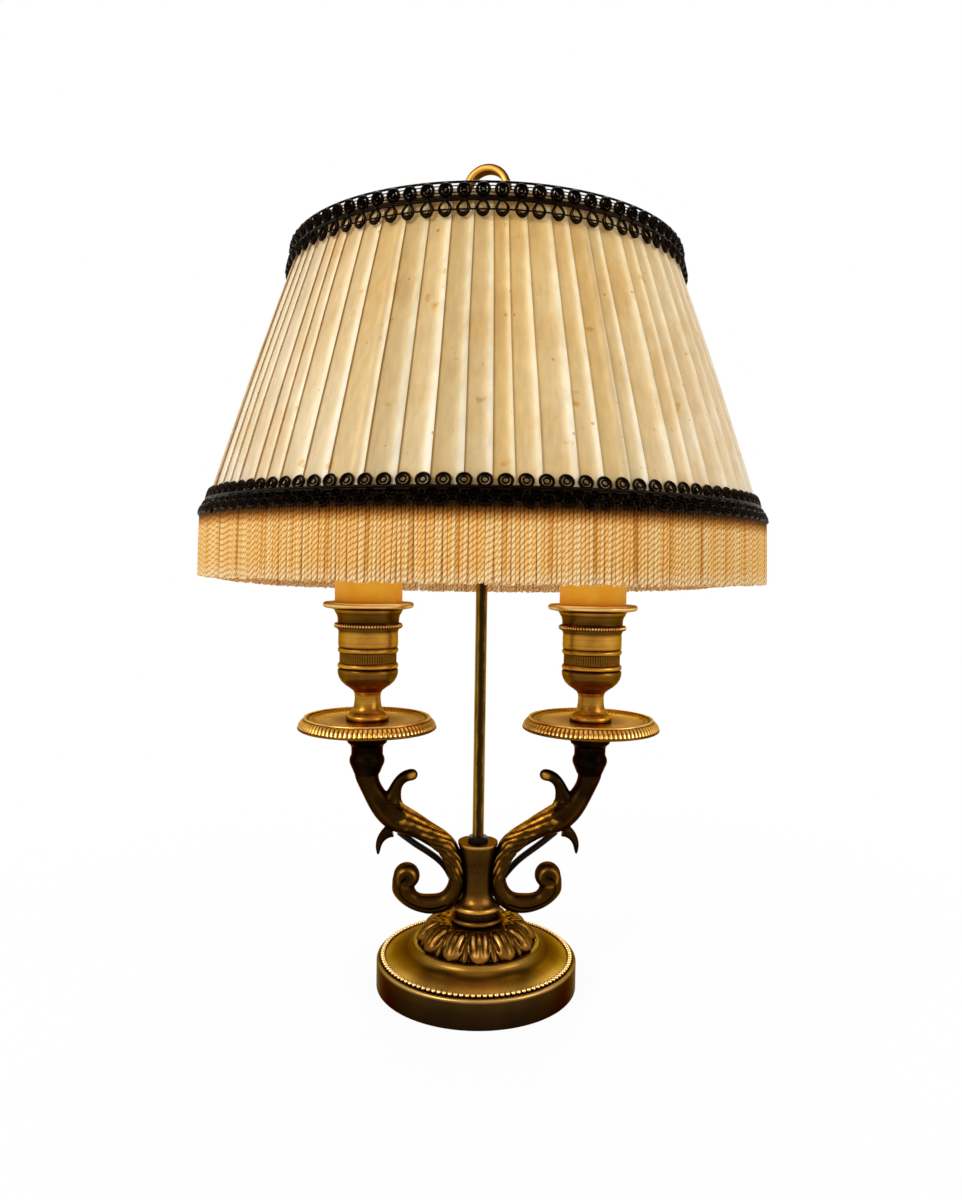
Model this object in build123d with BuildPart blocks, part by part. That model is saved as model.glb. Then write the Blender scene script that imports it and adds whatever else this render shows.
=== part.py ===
"""Two-light bouillotte lamp: cast brass stand, candle lights and a pleated drum shade.

Frame: origin at the centre of the underside, +Z up the rod, the two arms along -X and +X.
All sizes are millimetres.
"""
import os
from math import cos, pi, radians, sin, tan

from build123d import *

# ---------------------------------------------------------------- wire routes
# centre lines, from the blind hole in the underside of an arm, behind the column, through the
# dome and the foot, down to the terminal block
right_wire_route = [
    (34.6, 0.8, 66.6),
    (29.0, 2.6, 61.2),
    (23.4, 4.8, 56.3),
    (18.2, 6.9, 51.4),
    (13.6, 9.1, 45.2),
    (9.6, 11.5, 38.2),
    (6.0, 13.8, 31.8),
    (5.0, 14.5, 25.8),
    (4.8, 14.6, 20.6),
    (4.8, 14.6, 14.9),
]
left_wire_route = [
    (-34.8, 0.8, 66.6),
    (-28.8, 2.6, 61.4),
    (-23.2, 4.8, 57.2),
    (-18.0, 6.9, 53.0),
    (-13.6, 9.1, 47.8),
    (-10.2, 11.4, 40.6),
    (-6.4, 13.6, 32.6),
    (-5.0, 14.5, 26.0),
    (-4.8, 14.6, 20.6),
    (-4.8, 14.6, 14.9),
]

# ---------------------------------------------------------------- driving dimensions
running_fit = 0.05  # radial clearance of everything that turns or slides
assembly_fit = 0.05  # radial clearance of pieces that are screwed or pushed together

# foot casting
base_radius = 44.0
base_band_height = 12.3
base_lip_round = 1.2
base_wall = 3.4
cavity_rise = 1.6  # of the cavity's ceiling, under the dish
base_plate = 3.2  # thickness of the middle of the foot, under the leaf dome
bead_pitch_radius = 41.3
bead_diameter = 2.0
dish_inner_radius = 33.6
dish_rise = 2.2
seat_rim_radius = 27.4
seat_rim_height = 18.8
seat_rim_half_width = 0.6
seat_recess = 0.7
pad_thickness = 1.2
pad_clearance = 0.2

# inlet for the mains lead
gland_bore_radius = 2.8
gland_wall = 1.0
gland_flange_radius = 4.8
gland_flange_length = 1.8
gland_tail = 2.0
gland_height = 5.5

# leaf dome
dome_height = 9.2
dome_core_radius = 23.0
dome_edge_height = 1.0
dome_top_radius = 12.2
lobe_count = 12
lobe_half_length = 8.6
lobe_half_width = 4.6
lobe_centre_radius = 18.7
lobe_drop = 4.6  # centre of a lobe below the top of the dome
lobe_slope = 31.0

# turned column
column_height = 35.4
column_ring_radius = 11.5
column_ring_height = 3.0
column_step_radius = 9.7
column_step_height = 2.2
column_bulge_radius = 10.3
column_bulge_height = 2.8
column_waist_radius = 6.15
column_waist_level = 17.0  # above the foot of the column
column_top_radius = 8.8
column_rim = 0.9

# rod, its collar and the nut that ties the stand together
rod_radius = 2.5
rod_top = 333.0
collar_radius = 4.5
collar_height = 2.4
collar_chamfer = 0.7
tie_washer_radius = 7.5
tie_washer_thickness = 1.5
tie_nut_across_flats = 10.0
tie_nut_height = 4.0
rod_tail = 1.0

# scrolled arms
candle_reach = 49.15
nozzle_top = 111.2
nozzle_flare_radius = 9.8
nozzle_flare_height = 7.2
nozzle_cup_radius = 8.6  # where the flare turns upright
nozzle_cup_height = 4.6
nozzle_neck_radius = 6.9
nozzle_neck_height = 2.8
nozzle_ring_radius = 7.7
nozzle_ring_height = 4.6
nozzle_root_radius = 5.6
nozzle_root_height = 3.6
nozzle_root_step = 0.25  # where the stem leaves the nozzle's foot
arm_depth = 10.0  # along Y, at the stem
volute_radius = 5.8
leaf_end_radius = 2.5
stud_radius = 1.5
stud_length = 6.0
stud_level = 21.0

# drip pans
pan_radius = 30.2
pan_rim_radius = 27.1
pan_height = 6.9
pan_plate = 5.4
pan_rim_raise = 1.4  # underside of the rim above the top of the nozzle
pan_rim_inset = 1.6  # of the flat under the rim, inside the widest circle
pan_rim_flat = 1.8
pan_hollow_bevel = 0.6
pan_hub_margin = 1.5  # of the hub round the nozzle's flare
pan_edge_height = 2.1
pan_inner_ring_radius = 24.4
pan_ring_width = 1.6
pan_hollow = 2.4

# candle cups
cup_foot_radius = 9.2
cup_foot_height = 2.2
cup_waist_radius = 5.55
cup_waist_level = 9.6  # this level and the next ones above the cup's foot
cup_bowl_radius = 13.1
cup_bowl_level = 20.6
cup_ring_width = 2.2
cup_ring_stands = 0.6
cup_band_radius = 12.5
cup_band_level = 25.0
cup_band_height = 4.6
cup_body_radius = 12.9
cup_body_height = 6.2
cup_bead_radius = 14.7
cup_bead_width = 2.4
cup_throat_radius = 13.3
cup_throat_height = 3.4
cup_flare_radius = 14.6
cup_lip_radius = 19.6
cup_lip_thickness = 2.4
cup_lip_inset = 1.6  # of the lip's underside
cup_lip_rounding = 0.8
cup_height = 51.4
cup_bore_radius = 11.3
cup_bore_depth = 30.0

# lampholders and candle sleeves
nipple_radius = 4.0
nipple_floor = 2.0  # of metal left under the nipple, in the arm
nipple_bore_radius = 2.6
nipple_nut_across_flats = 11.0
nipple_nut_height = 3.0
sleeve_radius = 14.6
sleeve_wall = 0.9
sleeve_height = 40.0
holder_radius = 10.6
holder_floor = 4.0
holder_nest = 18.0  # how far the lampholder reaches down into the cup
holder_socket_depth = 27.0
holder_top_gap = 1.0  # lampholder below the top of the sleeve
contact_radius = 2.4
contact_gap = 0.3

# bulbs
bulb_cap_radius = 6.95
bulb_cap_length = 24.0
bulb_tip_radius = 3.2
bulb_tip_length = 1.6
bulb_insulator_height = 1.5  # black cone between the tip and the screw shell
bulb_flange = 1.0
bulb_lift = 0.2  # of the cap's flange above the lampholder
bulb_neck_radius = 9.0
bulb_radius = 17.5
bulb_widest_level = 27.0
bulb_length = 69.0
bulb_glass = 0.9

# wires from the arms to the base
wire_radius = 1.5
wire_fit = 0.15
wire_hole_x = 4.8
wire_hole_y = 14.6
grommet_radius = 3.1
grommet_bore = 2.2
grommet_length = 3.4
terminal_width = 19.0
terminal_depth = 11.0
terminal_height = 6.5
terminal_back = 1.0  # middle of the block behind the wires
terminal_corner = 1.2

# shade carrier on the rod
stop_top = 303.0
stop_height = 10.0
stop_radius = 6.0
stop_flange_radius = 8.6
stop_flange = 1.4
stop_spigot_radius = 4.2
spoke_seat = 1.5  # how far outside the spigot a spoke starts, inside the spider's hub
stop_spigot_height = 3.4
screw_radius = 1.5
screw_head_radius = 4.4
screw_head_length = 3.4
screw_head_start = 9.4  # from the rod's axis
screw_head_chamfer = 0.6
screw_level = 5.6  # below the top of the stop flange
hub_radius = 9.0
hub_height = 2.6

# shade
shade_top = 314.0
shade_bottom = 204.5
bottom_braid_overhang = 1.5
cover_top_radius = 79.3
cover_bottom_radius = 116.2
cover_thickness = 2.0
cover_gap = 0.3
frame_wire_radius = 1.25
rib_wire_radius = 1.0
rib_count = 8
rib_start_angle = 20.5
ring_inset = 3.0  # frame rings inside the cover's edges, along Z
spoke_radius = 1.1
spoke_weld_gap = 0.2
spoke_count = 3
spoke_start_angle = 30.0
lining_thickness = 0.8
braid_thickness = 1.6
top_braid_height = 12.4
top_braid_overhang = 1.6
top_braid_flare = 2.0
bottom_braid_height = 10.6
fringe_length = 24.2  # at the front and the sides
fringe_back_drop = 9.5  # how much lower the strands hang at the back
fringe_thickness = 1.6
fringe_splay = 0.9

# finial
finial_neck_radius = 4.4
finial_skirt_radius = 5.6
finial_skirt_height = 2.4
finial_bore_depth = 4.0
finial_neck_height = 8.2
finial_ring_radius = 10.4
finial_ring_section = 3.1
finial_ring_width = 5.5
finial_ring_sunk = 1.8  # how far the ring is let into the neck
finial_turned = 18.0

# ---------------------------------------------------------------- levels that follow
dome_base = seat_rim_height - seat_recess
dome_top = dome_base + dome_height
column_top = dome_top + column_height
plate_underside = dome_base - base_plate
pan_top = nozzle_top + pan_height
cup_base = nozzle_top + pan_plate
cup_top = cup_base + cup_height
sleeve_top = cup_top + sleeve_height
holder_top = sleeve_top - holder_top_gap
holder_base = cup_top - holder_nest
socket_floor = holder_top - holder_socket_depth
shaft_bore = rod_radius + assembly_fit
rod_axis = Axis((0, 0, 0), (0, 0, 1))
cover_slope = (cover_bottom_radius - cover_top_radius) / (shade_top - shade_bottom)
sides = {"left": -1, "right": 1}


def keep(piece, name):
    """Label a finished piece and write its STEP file."""
    piece.label = name
    export_step(piece, f"parts/{name}.step")


def candle_axis(side):
    """The upright axis of one candle light."""
    return Axis((side * candle_reach, 0, 0), (0, 0, 1))


def candle_plane(side):
    """Upright plane through a candle's axis, with local x outwards and local y up."""
    return Plane(origin=(side * candle_reach, 0, 0), x_dir=(1, 0, 0), z_dir=(0, -1, 0))


def cover_radius(height):
    """Outside radius of the shade's cover at a height."""
    return cover_top_radius + (shade_top - height) * cover_slope


os.makedirs("parts", exist_ok=True)

# ---------------------------------------------------------------- foot casting
bead_shelf = base_band_height - base_lip_round / 2
bead_outer = bead_pitch_radius + bead_diameter / 2
bead_inner = bead_pitch_radius - bead_diameter / 2
dish_edge = bead_shelf + bead_diameter / 2
dish_foot = dish_edge + dish_rise
cavity_radius = base_radius - base_wall
cavity_shoulder = bead_shelf - base_wall
gland_inner = cavity_radius - gland_tail
with BuildPart() as base_foot:
    with BuildSketch(Plane.XZ):
        with BuildLine():
            Line((cavity_radius, 0), (base_radius, 0))
            Line((base_radius, 0), (base_radius, base_band_height - base_lip_round))
            lip = RadiusArc(
                (base_radius, base_band_height - base_lip_round),
                (base_radius - base_lip_round, base_band_height),
                -base_lip_round,
            )
            Line(lip @ 1, (bead_outer, base_band_height))
            Line((bead_outer, base_band_height), (bead_outer, bead_shelf))
            Line((bead_outer, bead_shelf), (bead_inner, bead_shelf))
            Line((bead_inner, bead_shelf), (bead_inner, dish_edge))
            Line((bead_inner, dish_edge), (dish_inner_radius, dish_foot))
            rise = Spline(
                (dish_inner_radius, dish_foot),
                (seat_rim_radius + seat_rim_half_width, seat_rim_height),
                tangents=((-1, 0.25), (-0.15, 1)),
            )
            seat_wall_radius = seat_rim_radius - seat_rim_half_width
            Line(rise @ 1, (seat_wall_radius, seat_rim_height))
            Line((seat_wall_radius, seat_rim_height), (seat_wall_radius, dome_base))
            Line((seat_wall_radius, dome_base), (shaft_bore, dome_base))
            Line((shaft_bore, dome_base), (shaft_bore, plate_underside))
            Line((shaft_bore, plate_underside), (seat_rim_radius - base_wall, plate_underside))
            Line(
                (seat_rim_radius - base_wall, plate_underside),
                (dish_inner_radius, cavity_shoulder + cavity_rise),
            )
            Line((dish_inner_radius, cavity_shoulder + cavity_rise), (cavity_radius, cavity_shoulder))
            Line((cavity_radius, cavity_shoulder), (cavity_radius, 0))
        make_face()
    revolve(axis=rod_axis)
    with Locations((-wire_hole_x, wire_hole_y, dome_base), (wire_hole_x, wire_hole_y, dome_base)):
        Hole(grommet_bore, depth=base_plate)
    with BuildSketch(Plane.XZ.offset(-gland_inner)):
        with Locations((0, gland_height)):
            Circle(gland_bore_radius + gland_wall)
    extrude(amount=-(base_radius - gland_inner), mode=Mode.SUBTRACT)
keep(base_foot.part, "base_foot")

with BuildPart() as bead_ring:
    with BuildSketch(Plane.XZ):
        with Locations((bead_pitch_radius, bead_shelf + bead_diameter / 2)):
            Circle(bead_diameter / 2)
    revolve(axis=rod_axis)
keep(bead_ring.part, "bead_ring")

with BuildPart() as base_pad:
    with BuildSketch():
        Circle(cavity_radius - pad_clearance)
    extrude(amount=pad_thickness)
keep(base_pad.part, "base_pad")

with BuildPart() as lead_gland:
    with BuildSketch(Plane.XZ.offset(-gland_inner)):
        with Locations((0, gland_height)):
            Circle(gland_bore_radius + gland_wall - assembly_fit)
            Circle(gland_bore_radius, mode=Mode.SUBTRACT)
    extrude(amount=-(base_radius - gland_inner + gland_flange_length))
    with BuildSketch(Plane.XZ.offset(-base_radius)):
        with Locations((0, gland_height)):
            Circle(gland_flange_radius)
            Circle(gland_bore_radius, mode=Mode.SUBTRACT)
    extrude(amount=-gland_flange_length)
keep(lead_gland.part, "lead_gland")

with BuildPart() as terminal_block:
    with BuildSketch(Plane.XY.offset(plate_underside)):
        with Locations((0, wire_hole_y + terminal_back)):
            RectangleRounded(terminal_width, terminal_depth, terminal_corner)
    extrude(amount=-terminal_height)
keep(terminal_block.part, "terminal_block")

# ---------------------------------------------------------------- leaf dome
lobe_height = dome_top - lobe_drop
with BuildPart() as lobe:
    with BuildSketch(
        Plane(
            origin=(lobe_centre_radius, 0, lobe_height),
            x_dir=(cos(radians(lobe_slope)), 0, -sin(radians(lobe_slope))),
            z_dir=(0, -1, 0),
        )
    ):
        Ellipse(lobe_half_length, lobe_half_width)
        Rectangle(2 * lobe_half_length, lobe_half_width, align=(Align.CENTER, Align.MAX), mode=Mode.SUBTRACT)
    revolve(
        axis=Axis(
            (lobe_centre_radius, 0, lobe_height),
            (cos(radians(lobe_slope)), 0, -sin(radians(lobe_slope))),
        )
    )

with BuildPart() as leaf_dome:
    with BuildSketch(Plane.XZ):
        with BuildLine():
            Line((shaft_bore, dome_base), (dome_core_radius, dome_base))
            Line((dome_core_radius, dome_base), (dome_core_radius, dome_base + dome_edge_height))
            crown = Spline(
                (dome_core_radius, dome_base + dome_edge_height),
                (dome_top_radius, dome_top),
                tangents=((-0.25, 1), (-1, 0.12)),
            )
            Line(crown @ 1, (shaft_bore, dome_top))
            Line((shaft_bore, dome_top), (shaft_bore, dome_base))
        make_face()
    revolve(axis=rod_axis)
    with PolarLocations(0, lobe_count):
        add(lobe.part)
    split(bisect_by=Plane.XY.offset(dome_base), keep=Keep.TOP)
    split(bisect_by=Plane.XY.offset(dome_top), keep=Keep.BOTTOM)
    with Locations((-wire_hole_x, wire_hole_y, dome_top), (wire_hole_x, wire_hole_y, dome_top)):
        Hole(grommet_bore, depth=dome_height)
        Hole(grommet_radius + assembly_fit, depth=grommet_length)
keep(leaf_dome.part, "leaf_dome")

# ---------------------------------------------------------------- turned column
ring_level = dome_top + column_ring_height
step_level = ring_level + column_step_height
bulge_level = step_level + column_bulge_height
with BuildPart() as column:
    with BuildSketch(Plane.XZ):
        with BuildLine():
            Line((shaft_bore, dome_top), (column_ring_radius - column_ring_height / 2, dome_top))
            ring = ThreePointArc(
                (column_ring_radius - column_ring_height / 2, dome_top),
                (column_ring_radius, dome_top + column_ring_height / 2),
                (column_ring_radius - column_ring_height / 2, ring_level),
            )
            Line(ring @ 1, (column_step_radius, ring_level))
            Line((column_step_radius, ring_level), (column_step_radius, step_level))
            bulge = ThreePointArc(
                (column_step_radius, step_level),
                (column_bulge_radius, step_level + column_bulge_height / 2),
                (column_step_radius - 0.3, bulge_level),
            )
            shaft = Spline(
                bulge @ 1,
                (column_waist_radius, dome_top + column_waist_level),
                (column_top_radius, column_top - column_rim),
                tangents=((-1, 0.45), (0.32, 1)),
            )
            Line(shaft @ 1, (column_top_radius, column_top))
            Line((column_top_radius, column_top), (shaft_bore, column_top))
            Line((shaft_bore, column_top), (shaft_bore, dome_top))
        make_face()
    revolve(axis=rod_axis)
column_envelope = column.part
stud_height = dome_top + stud_level
with BuildPart() as bored_column:
    add(column_envelope)
    with BuildSketch(Plane.YZ):
        with Locations((0, stud_height)):
            Circle(stud_radius)
    extrude(amount=column_top_radius, both=True, mode=Mode.SUBTRACT)
keep(bored_column.part, "column")

with BuildPart() as rod_collar:
    with BuildSketch(Plane.XY.offset(column_top)):
        Circle(collar_radius)
        Circle(shaft_bore, mode=Mode.SUBTRACT)
    extrude(amount=collar_height)
    chamfer(rod_collar.edges().group_by(Axis.Z)[-1].sort_by(SortBy.RADIUS)[-1], collar_chamfer)
keep(rod_collar.part, "rod_collar")

tie_top = plate_underside - tie_washer_thickness
rod_bottom = tie_top - tie_nut_height - rod_tail
with BuildPart() as center_rod:
    with BuildSketch(Plane.XY.offset(rod_bottom)):
        Circle(rod_radius)
    extrude(amount=rod_top - rod_bottom)
keep(center_rod.part, "center_rod")

with BuildPart() as tie_washer:
    with BuildSketch(Plane.XY.offset(tie_top)):
        Circle(tie_washer_radius)
        Circle(shaft_bore, mode=Mode.SUBTRACT)
    extrude(amount=tie_washer_thickness)
keep(tie_washer.part, "tie_washer")

with BuildPart() as tie_nut:
    with BuildSketch(Plane.XY.offset(tie_top - tie_nut_height)):
        RegularPolygon(tie_nut_across_flats / 2, 6, major_radius=False)
        Circle(shaft_bore, mode=Mode.SUBTRACT)
    extrude(amount=tie_nut_height)
keep(tie_nut.part, "tie_nut")

# ---------------------------------------------------------------- scrolled arms
nozzle_root = (
    nozzle_top - nozzle_flare_height - nozzle_neck_height - nozzle_ring_height - nozzle_root_height
)
arm_rise = nozzle_root - dome_top


def limb(stations):
    """Loft a curved limb of the right-hand arm through oval sections.

    Each station is (out, up, width, depth): out is the share of the way from the rod to the
    candle's axis, up the share of the way from the dome to the nozzle's root, and width and depth
    are shares of the stem's own depth. Each oval faces along the arc that runs through its place
    and its neighbours'. The depth is never the smaller share, so that every oval starts at the
    same point and the loft doesn't twist.
    """
    places = [Vector(out * candle_reach, 0, dome_top + up * arm_rise) for out, up, _, _ in stations]
    runs = [after - before for before, after in zip(places, places[1:])]
    facing = [
        before.normalized() * after.length + after.normalized() * before.length
        for before, after in zip(runs, runs[1:])
    ]
    first, last = runs[0].normalized(), runs[-1].normalized()
    facing.insert(0, first * (2 * first.dot(facing[0])) - facing[0])
    facing.append(last * (2 * last.dot(facing[-1])) - facing[-1])
    with BuildPart() as grown:
        for place, way, (_, _, width, depth) in zip(places, facing, stations):
            with BuildSketch(Plane(origin=place, x_dir=(0, 1, 0), z_dir=way)):
                Ellipse(depth * arm_depth / 2, width * arm_depth / 2)
        loft()
    return grown.part


root_share = 2 * (nozzle_root_radius - nozzle_root_step) / arm_depth
stem = limb(
    [
        (1.000, 1.020, root_share, root_share),
        (0.976, 0.927, 0.92, 1.04),
        (0.915, 0.840, 0.96, 1.00),
        (0.846, 0.771, 1.10, 1.12),
        (0.737, 0.703, 1.20, 1.22),
        (0.555, 0.640, 1.00, 1.04),
        (0.405, 0.574, 0.92, 0.96),
        (0.283, 0.503, 0.88, 0.94),
        (0.212, 0.399, 0.82, 0.92),
        (0.187, 0.285, 0.70, 0.90),
        (0.212, 0.198, 0.78, 0.88),
        (0.291, 0.132, 0.84, 0.86),
        (0.413, 0.113, 0.86, 0.88),
        (0.532, 0.126, 0.78, 0.84),
        (0.631, 0.178, 0.88, 0.90),
        (0.669, 0.242, 0.96, 1.00),
    ]
)
upper_leaf = limb(
    [
        (0.780, 0.811, 0.98, 1.00),
        (0.757, 0.864, 0.66, 0.70),
        (0.737, 0.909, 0.52, 0.64),
        (0.700, 0.953, 0.48, 0.60),
        (0.648, 0.980, 0.50, 0.56),
        (0.600, 0.988, 0.52, 0.54),
    ]
)
lower_leaf = limb(
    [
        (0.774, 0.614, 0.64, 0.66),
        (0.827, 0.591, 0.48, 0.56),
        (0.868, 0.555, 0.36, 0.44),
        (0.890, 0.508, 0.26, 0.34),
        (0.893, 0.469, 0.16, 0.22),
        (0.894, 0.449, 0.08, 0.10),
    ]
)
volute_place = (0.636 * candle_reach, 0, dome_top + 0.306 * arm_rise)
leaf_end_place = (0.598 * candle_reach, 0, dome_top + 0.989 * arm_rise)
ring_base = nozzle_root + nozzle_root_height
neck_base = ring_base + nozzle_ring_height
flare_base = neck_base + nozzle_neck_height
with BuildPart() as arm_casting:
    add(stem)
    add(upper_leaf)
    add(lower_leaf)
    with Locations(volute_place):
        Sphere(volute_radius)
    with Locations(leaf_end_place):
        Sphere(leaf_end_radius)
    with BuildSketch(candle_plane(1)):
        with BuildLine():
            Line((0, nozzle_root), (nozzle_root_radius, nozzle_root))
            Line((nozzle_root_radius, nozzle_root), (nozzle_ring_radius - 0.6, ring_base))
            collar = ThreePointArc(
                (nozzle_ring_radius - 0.6, ring_base),
                (nozzle_ring_radius, ring_base + nozzle_ring_height / 2),
                (nozzle_neck_radius, neck_base),
            )
            neck = Line(collar @ 1, (nozzle_neck_radius, flare_base))
            flare = Spline(
                neck @ 1,
                (nozzle_cup_radius, nozzle_top - nozzle_cup_height),
                tangents=((0, 1), (1, 0.6)),
            )
            cup_side = Line(flare @ 1, (nozzle_flare_radius, nozzle_top))
            Line(cup_side @ 1, (0, nozzle_top))
            Line((0, nozzle_top), (0, nozzle_root))
        make_face()
    revolve(axis=candle_axis(1))

nipple_base = nozzle_root + nipple_floor
stud_start = shaft_bore + assembly_fit
routes = {"left": left_wire_route, "right": right_wire_route}
for name, side in sides.items():
    casting = arm_casting.part if side > 0 else mirror(arm_casting.part, about=Plane.YZ)
    entry = Vector(*routes[name][0])
    exit_run = Vector(*routes[name][1]) - entry
    with BuildPart() as arm:
        add(casting)
        add(column_envelope, mode=Mode.SUBTRACT)
        with Locations((side * candle_reach, 0, nozzle_top)):
            Hole(nipple_radius + assembly_fit, depth=nozzle_top - nipple_base)
        with BuildSketch(Plane(origin=(0, 0, stud_height), x_dir=(0, 1, 0), z_dir=(side, 0, 0))):
            Circle(stud_radius)
        extrude(amount=stud_start + stud_length, mode=Mode.SUBTRACT)
        with BuildSketch(Plane(origin=entry, z_dir=exit_run)):
            Circle(wire_radius + wire_fit)
        extrude(amount=1.6 * exit_run.length, mode=Mode.SUBTRACT)
    keep(arm.part, f"{name}_arm")

with BuildPart() as arm_studs:
    for side in sides.values():
        with BuildSketch(
            Plane(origin=(side * stud_start, 0, stud_height), x_dir=(0, 1, 0), z_dir=(side, 0, 0))
        ):
            Circle(stud_radius)
        extrude(amount=stud_length)
keep(arm_studs.part, "arm_studs")

# ---------------------------------------------------------------- wires
for name, route in routes.items():
    runs = [Vector(*b) - Vector(*a) for a, b in zip(route, route[1:])]
    bends = [
        0.45 * min(before.length, after.length) / tan(radians(before.get_angle(after)) / 2)
        for before, after in zip(runs, runs[1:])
    ]
    with BuildPart() as wire:
        with BuildLine() as centre_line:
            FilletPolyline(*route, radius=bends)
        path = centre_line.wires()[0]
        with BuildSketch(Plane(origin=path @ 0, z_dir=path % 0)):
            Circle(wire_radius)
        sweep(path=path)
    keep(wire.part, f"{name}_wire")
    print(name, "wire bends", [round(bend, 1) for bend in bends])
    section = pi * wire_radius**2
    print(name, "wire volume", round(wire.part.volume, 1), "expected", round(section * path.length, 1))
    print(name, "wire length", round(path.length, 1))

with BuildPart() as wire_grommets:
    with BuildSketch(Plane.XY.offset(dome_top - grommet_length)):
        with Locations((-wire_hole_x, wire_hole_y), (wire_hole_x, wire_hole_y)):
            Circle(grommet_radius)
            Circle(grommet_bore, mode=Mode.SUBTRACT)
    extrude(amount=grommet_length)
keep(wire_grommets.part, "wire_grommets")

# ---------------------------------------------------------------- drip pans and candle cups
nipple_bore = nipple_radius + assembly_fit
pan_middle = nozzle_top + pan_plate
pan_hub_radius = nozzle_flare_radius + pan_hub_margin
pan_rim_foot = pan_radius - pan_rim_inset - pan_rim_flat
rim_underside = nozzle_top + pan_rim_raise
for name, side in sides.items():
    with BuildPart() as pan:
        with BuildSketch(candle_plane(side)):
            with BuildLine():
                hollow = Polyline(
                    (nipple_bore, nozzle_top),
                    (pan_hub_radius, nozzle_top),
                    (pan_hub_radius, nozzle_top + pan_hollow),
                    (pan_rim_foot - pan_hollow_bevel, nozzle_top + pan_hollow),
                    (pan_rim_foot, rim_underside),
                    (pan_radius - pan_rim_inset, rim_underside),
                )
                edge = ThreePointArc(
                    hollow @ 1,
                    (pan_radius - 0.3, rim_underside + 0.4 * (pan_edge_height - pan_rim_raise)),
                    (pan_radius, nozzle_top + pan_edge_height),
                )
                ovolo = ThreePointArc(
                    edge @ 1,
                    (pan_radius - 0.9, nozzle_top + (pan_height + pan_edge_height) / 2),
                    (pan_rim_radius + 0.4, pan_top - 0.6),
                )
                Polyline(
                    ovolo @ 1,
                    (pan_rim_radius, pan_top),
                    (pan_rim_radius - 0.9, pan_top),
                    (pan_inner_ring_radius + 0.8, pan_top - 0.9),
                    (pan_inner_ring_radius, pan_top - 0.5),
                    (pan_inner_ring_radius - 0.7, pan_top - 0.5),
                    (pan_inner_ring_radius - pan_ring_width, pan_middle),
                    (nipple_bore, pan_middle),
                    (nipple_bore, nozzle_top),
                )
            make_face()
        revolve(axis=candle_axis(side))
    keep(pan.part, f"{name}_pan")

    bead_level = cup_base + cup_band_level + cup_band_height + cup_ring_width + cup_body_height
    throat_level = bead_level + cup_bead_width
    flare_level = throat_level + cup_throat_height
    lip_level = cup_top - cup_lip_thickness
    band_level = cup_base + cup_band_level
    ring_level = band_level + cup_band_height
    body_level = ring_level + cup_ring_width
    with BuildPart() as cup:
        with BuildSketch(candle_plane(side)):
            with BuildLine():
                Polyline(
                    (cup_bore_radius, cup_top),
                    (cup_bore_radius, cup_top - cup_bore_depth),
                    (nipple_bore, cup_top - cup_bore_depth),
                    (nipple_bore, cup_base),
                    (cup_foot_radius, cup_base),
                    (cup_foot_radius, cup_base + cup_foot_height),
                )
                foot = Spline(
                    (cup_foot_radius, cup_base + cup_foot_height),
                    (cup_waist_radius, cup_base + cup_waist_level),
                    tangents=((-1, 0.5), (-0.1, 1)),
                )
                bowl = Spline(
                    foot @ 1,
                    (cup_bowl_radius, cup_base + cup_bowl_level),
                    tangents=((0.1, 1), (0.1, 1)),
                )
                lower = Polyline(
                    bowl @ 1,
                    (cup_bowl_radius, band_level - cup_ring_width - cup_ring_stands),
                    (cup_band_radius - 0.2, band_level - cup_ring_width - cup_ring_stands),
                    (cup_band_radius - 0.2, band_level - cup_ring_width),
                    (cup_band_radius + 0.1, band_level - cup_ring_width),
                )
                lower_ring = ThreePointArc(
                    lower @ 1,
                    (cup_band_radius + cup_ring_stands, band_level - cup_ring_width / 2),
                    (cup_band_radius, band_level),
                )
                Line(lower_ring @ 1, (cup_band_radius, ring_level))
                upper_ring = ThreePointArc(
                    (cup_band_radius, ring_level),
                    (cup_band_radius + cup_ring_stands, ring_level + cup_ring_width / 2),
                    (cup_band_radius - 0.1, body_level - 0.3),
                )
                body = Polyline(
                    upper_ring @ 1,
                    (cup_body_radius, body_level),
                    (cup_body_radius, bead_level),
                    (cup_throat_radius, bead_level),
                )
                bead = ThreePointArc(
                    body @ 1,
                    (cup_bead_radius, bead_level + cup_bead_width / 2),
                    (cup_throat_radius, throat_level),
                )
                cavetto = Spline(
                    bead @ 1,
                    (cup_throat_radius + 0.2, flare_level - 1),
                    (cup_flare_radius, lip_level - 1.2),
                    tangents=((0, 1), (0.8, 1)),
                )
                under_lip = Polyline(
                    cavetto @ 1,
                    (cup_flare_radius, lip_level - 0.5),
                    (cup_lip_radius - cup_lip_inset, lip_level),
                )
                lip = ThreePointArc(
                    under_lip @ 1,
                    (cup_lip_radius, cup_top - cup_lip_thickness / 2),
                    (cup_lip_radius - cup_lip_rounding, cup_top),
                )
                Line(lip @ 1, (cup_bore_radius, cup_top))
            make_face()
        revolve(axis=candle_axis(side))
    keep(cup.part, f"{name}_cup")

    with BuildPart() as nipple:
        with BuildSketch(Plane.XY.offset(nipple_base)):
            with Locations((side * candle_reach, 0)):
                Circle(nipple_radius)
                Circle(nipple_bore_radius, mode=Mode.SUBTRACT)
        extrude(amount=holder_base + holder_floor - nipple_base)
    keep(nipple.part, f"{name}_nipple")

    with BuildPart() as cup_nut:
        with BuildSketch(Plane.XY.offset(cup_top - cup_bore_depth)):
            with Locations((side * candle_reach, 0)):
                RegularPolygon(nipple_nut_across_flats / 2, 6, major_radius=False)
                Circle(nipple_bore, mode=Mode.SUBTRACT)
        extrude(amount=nipple_nut_height)
    keep(cup_nut.part, f"{name}_cup_nut")

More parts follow.
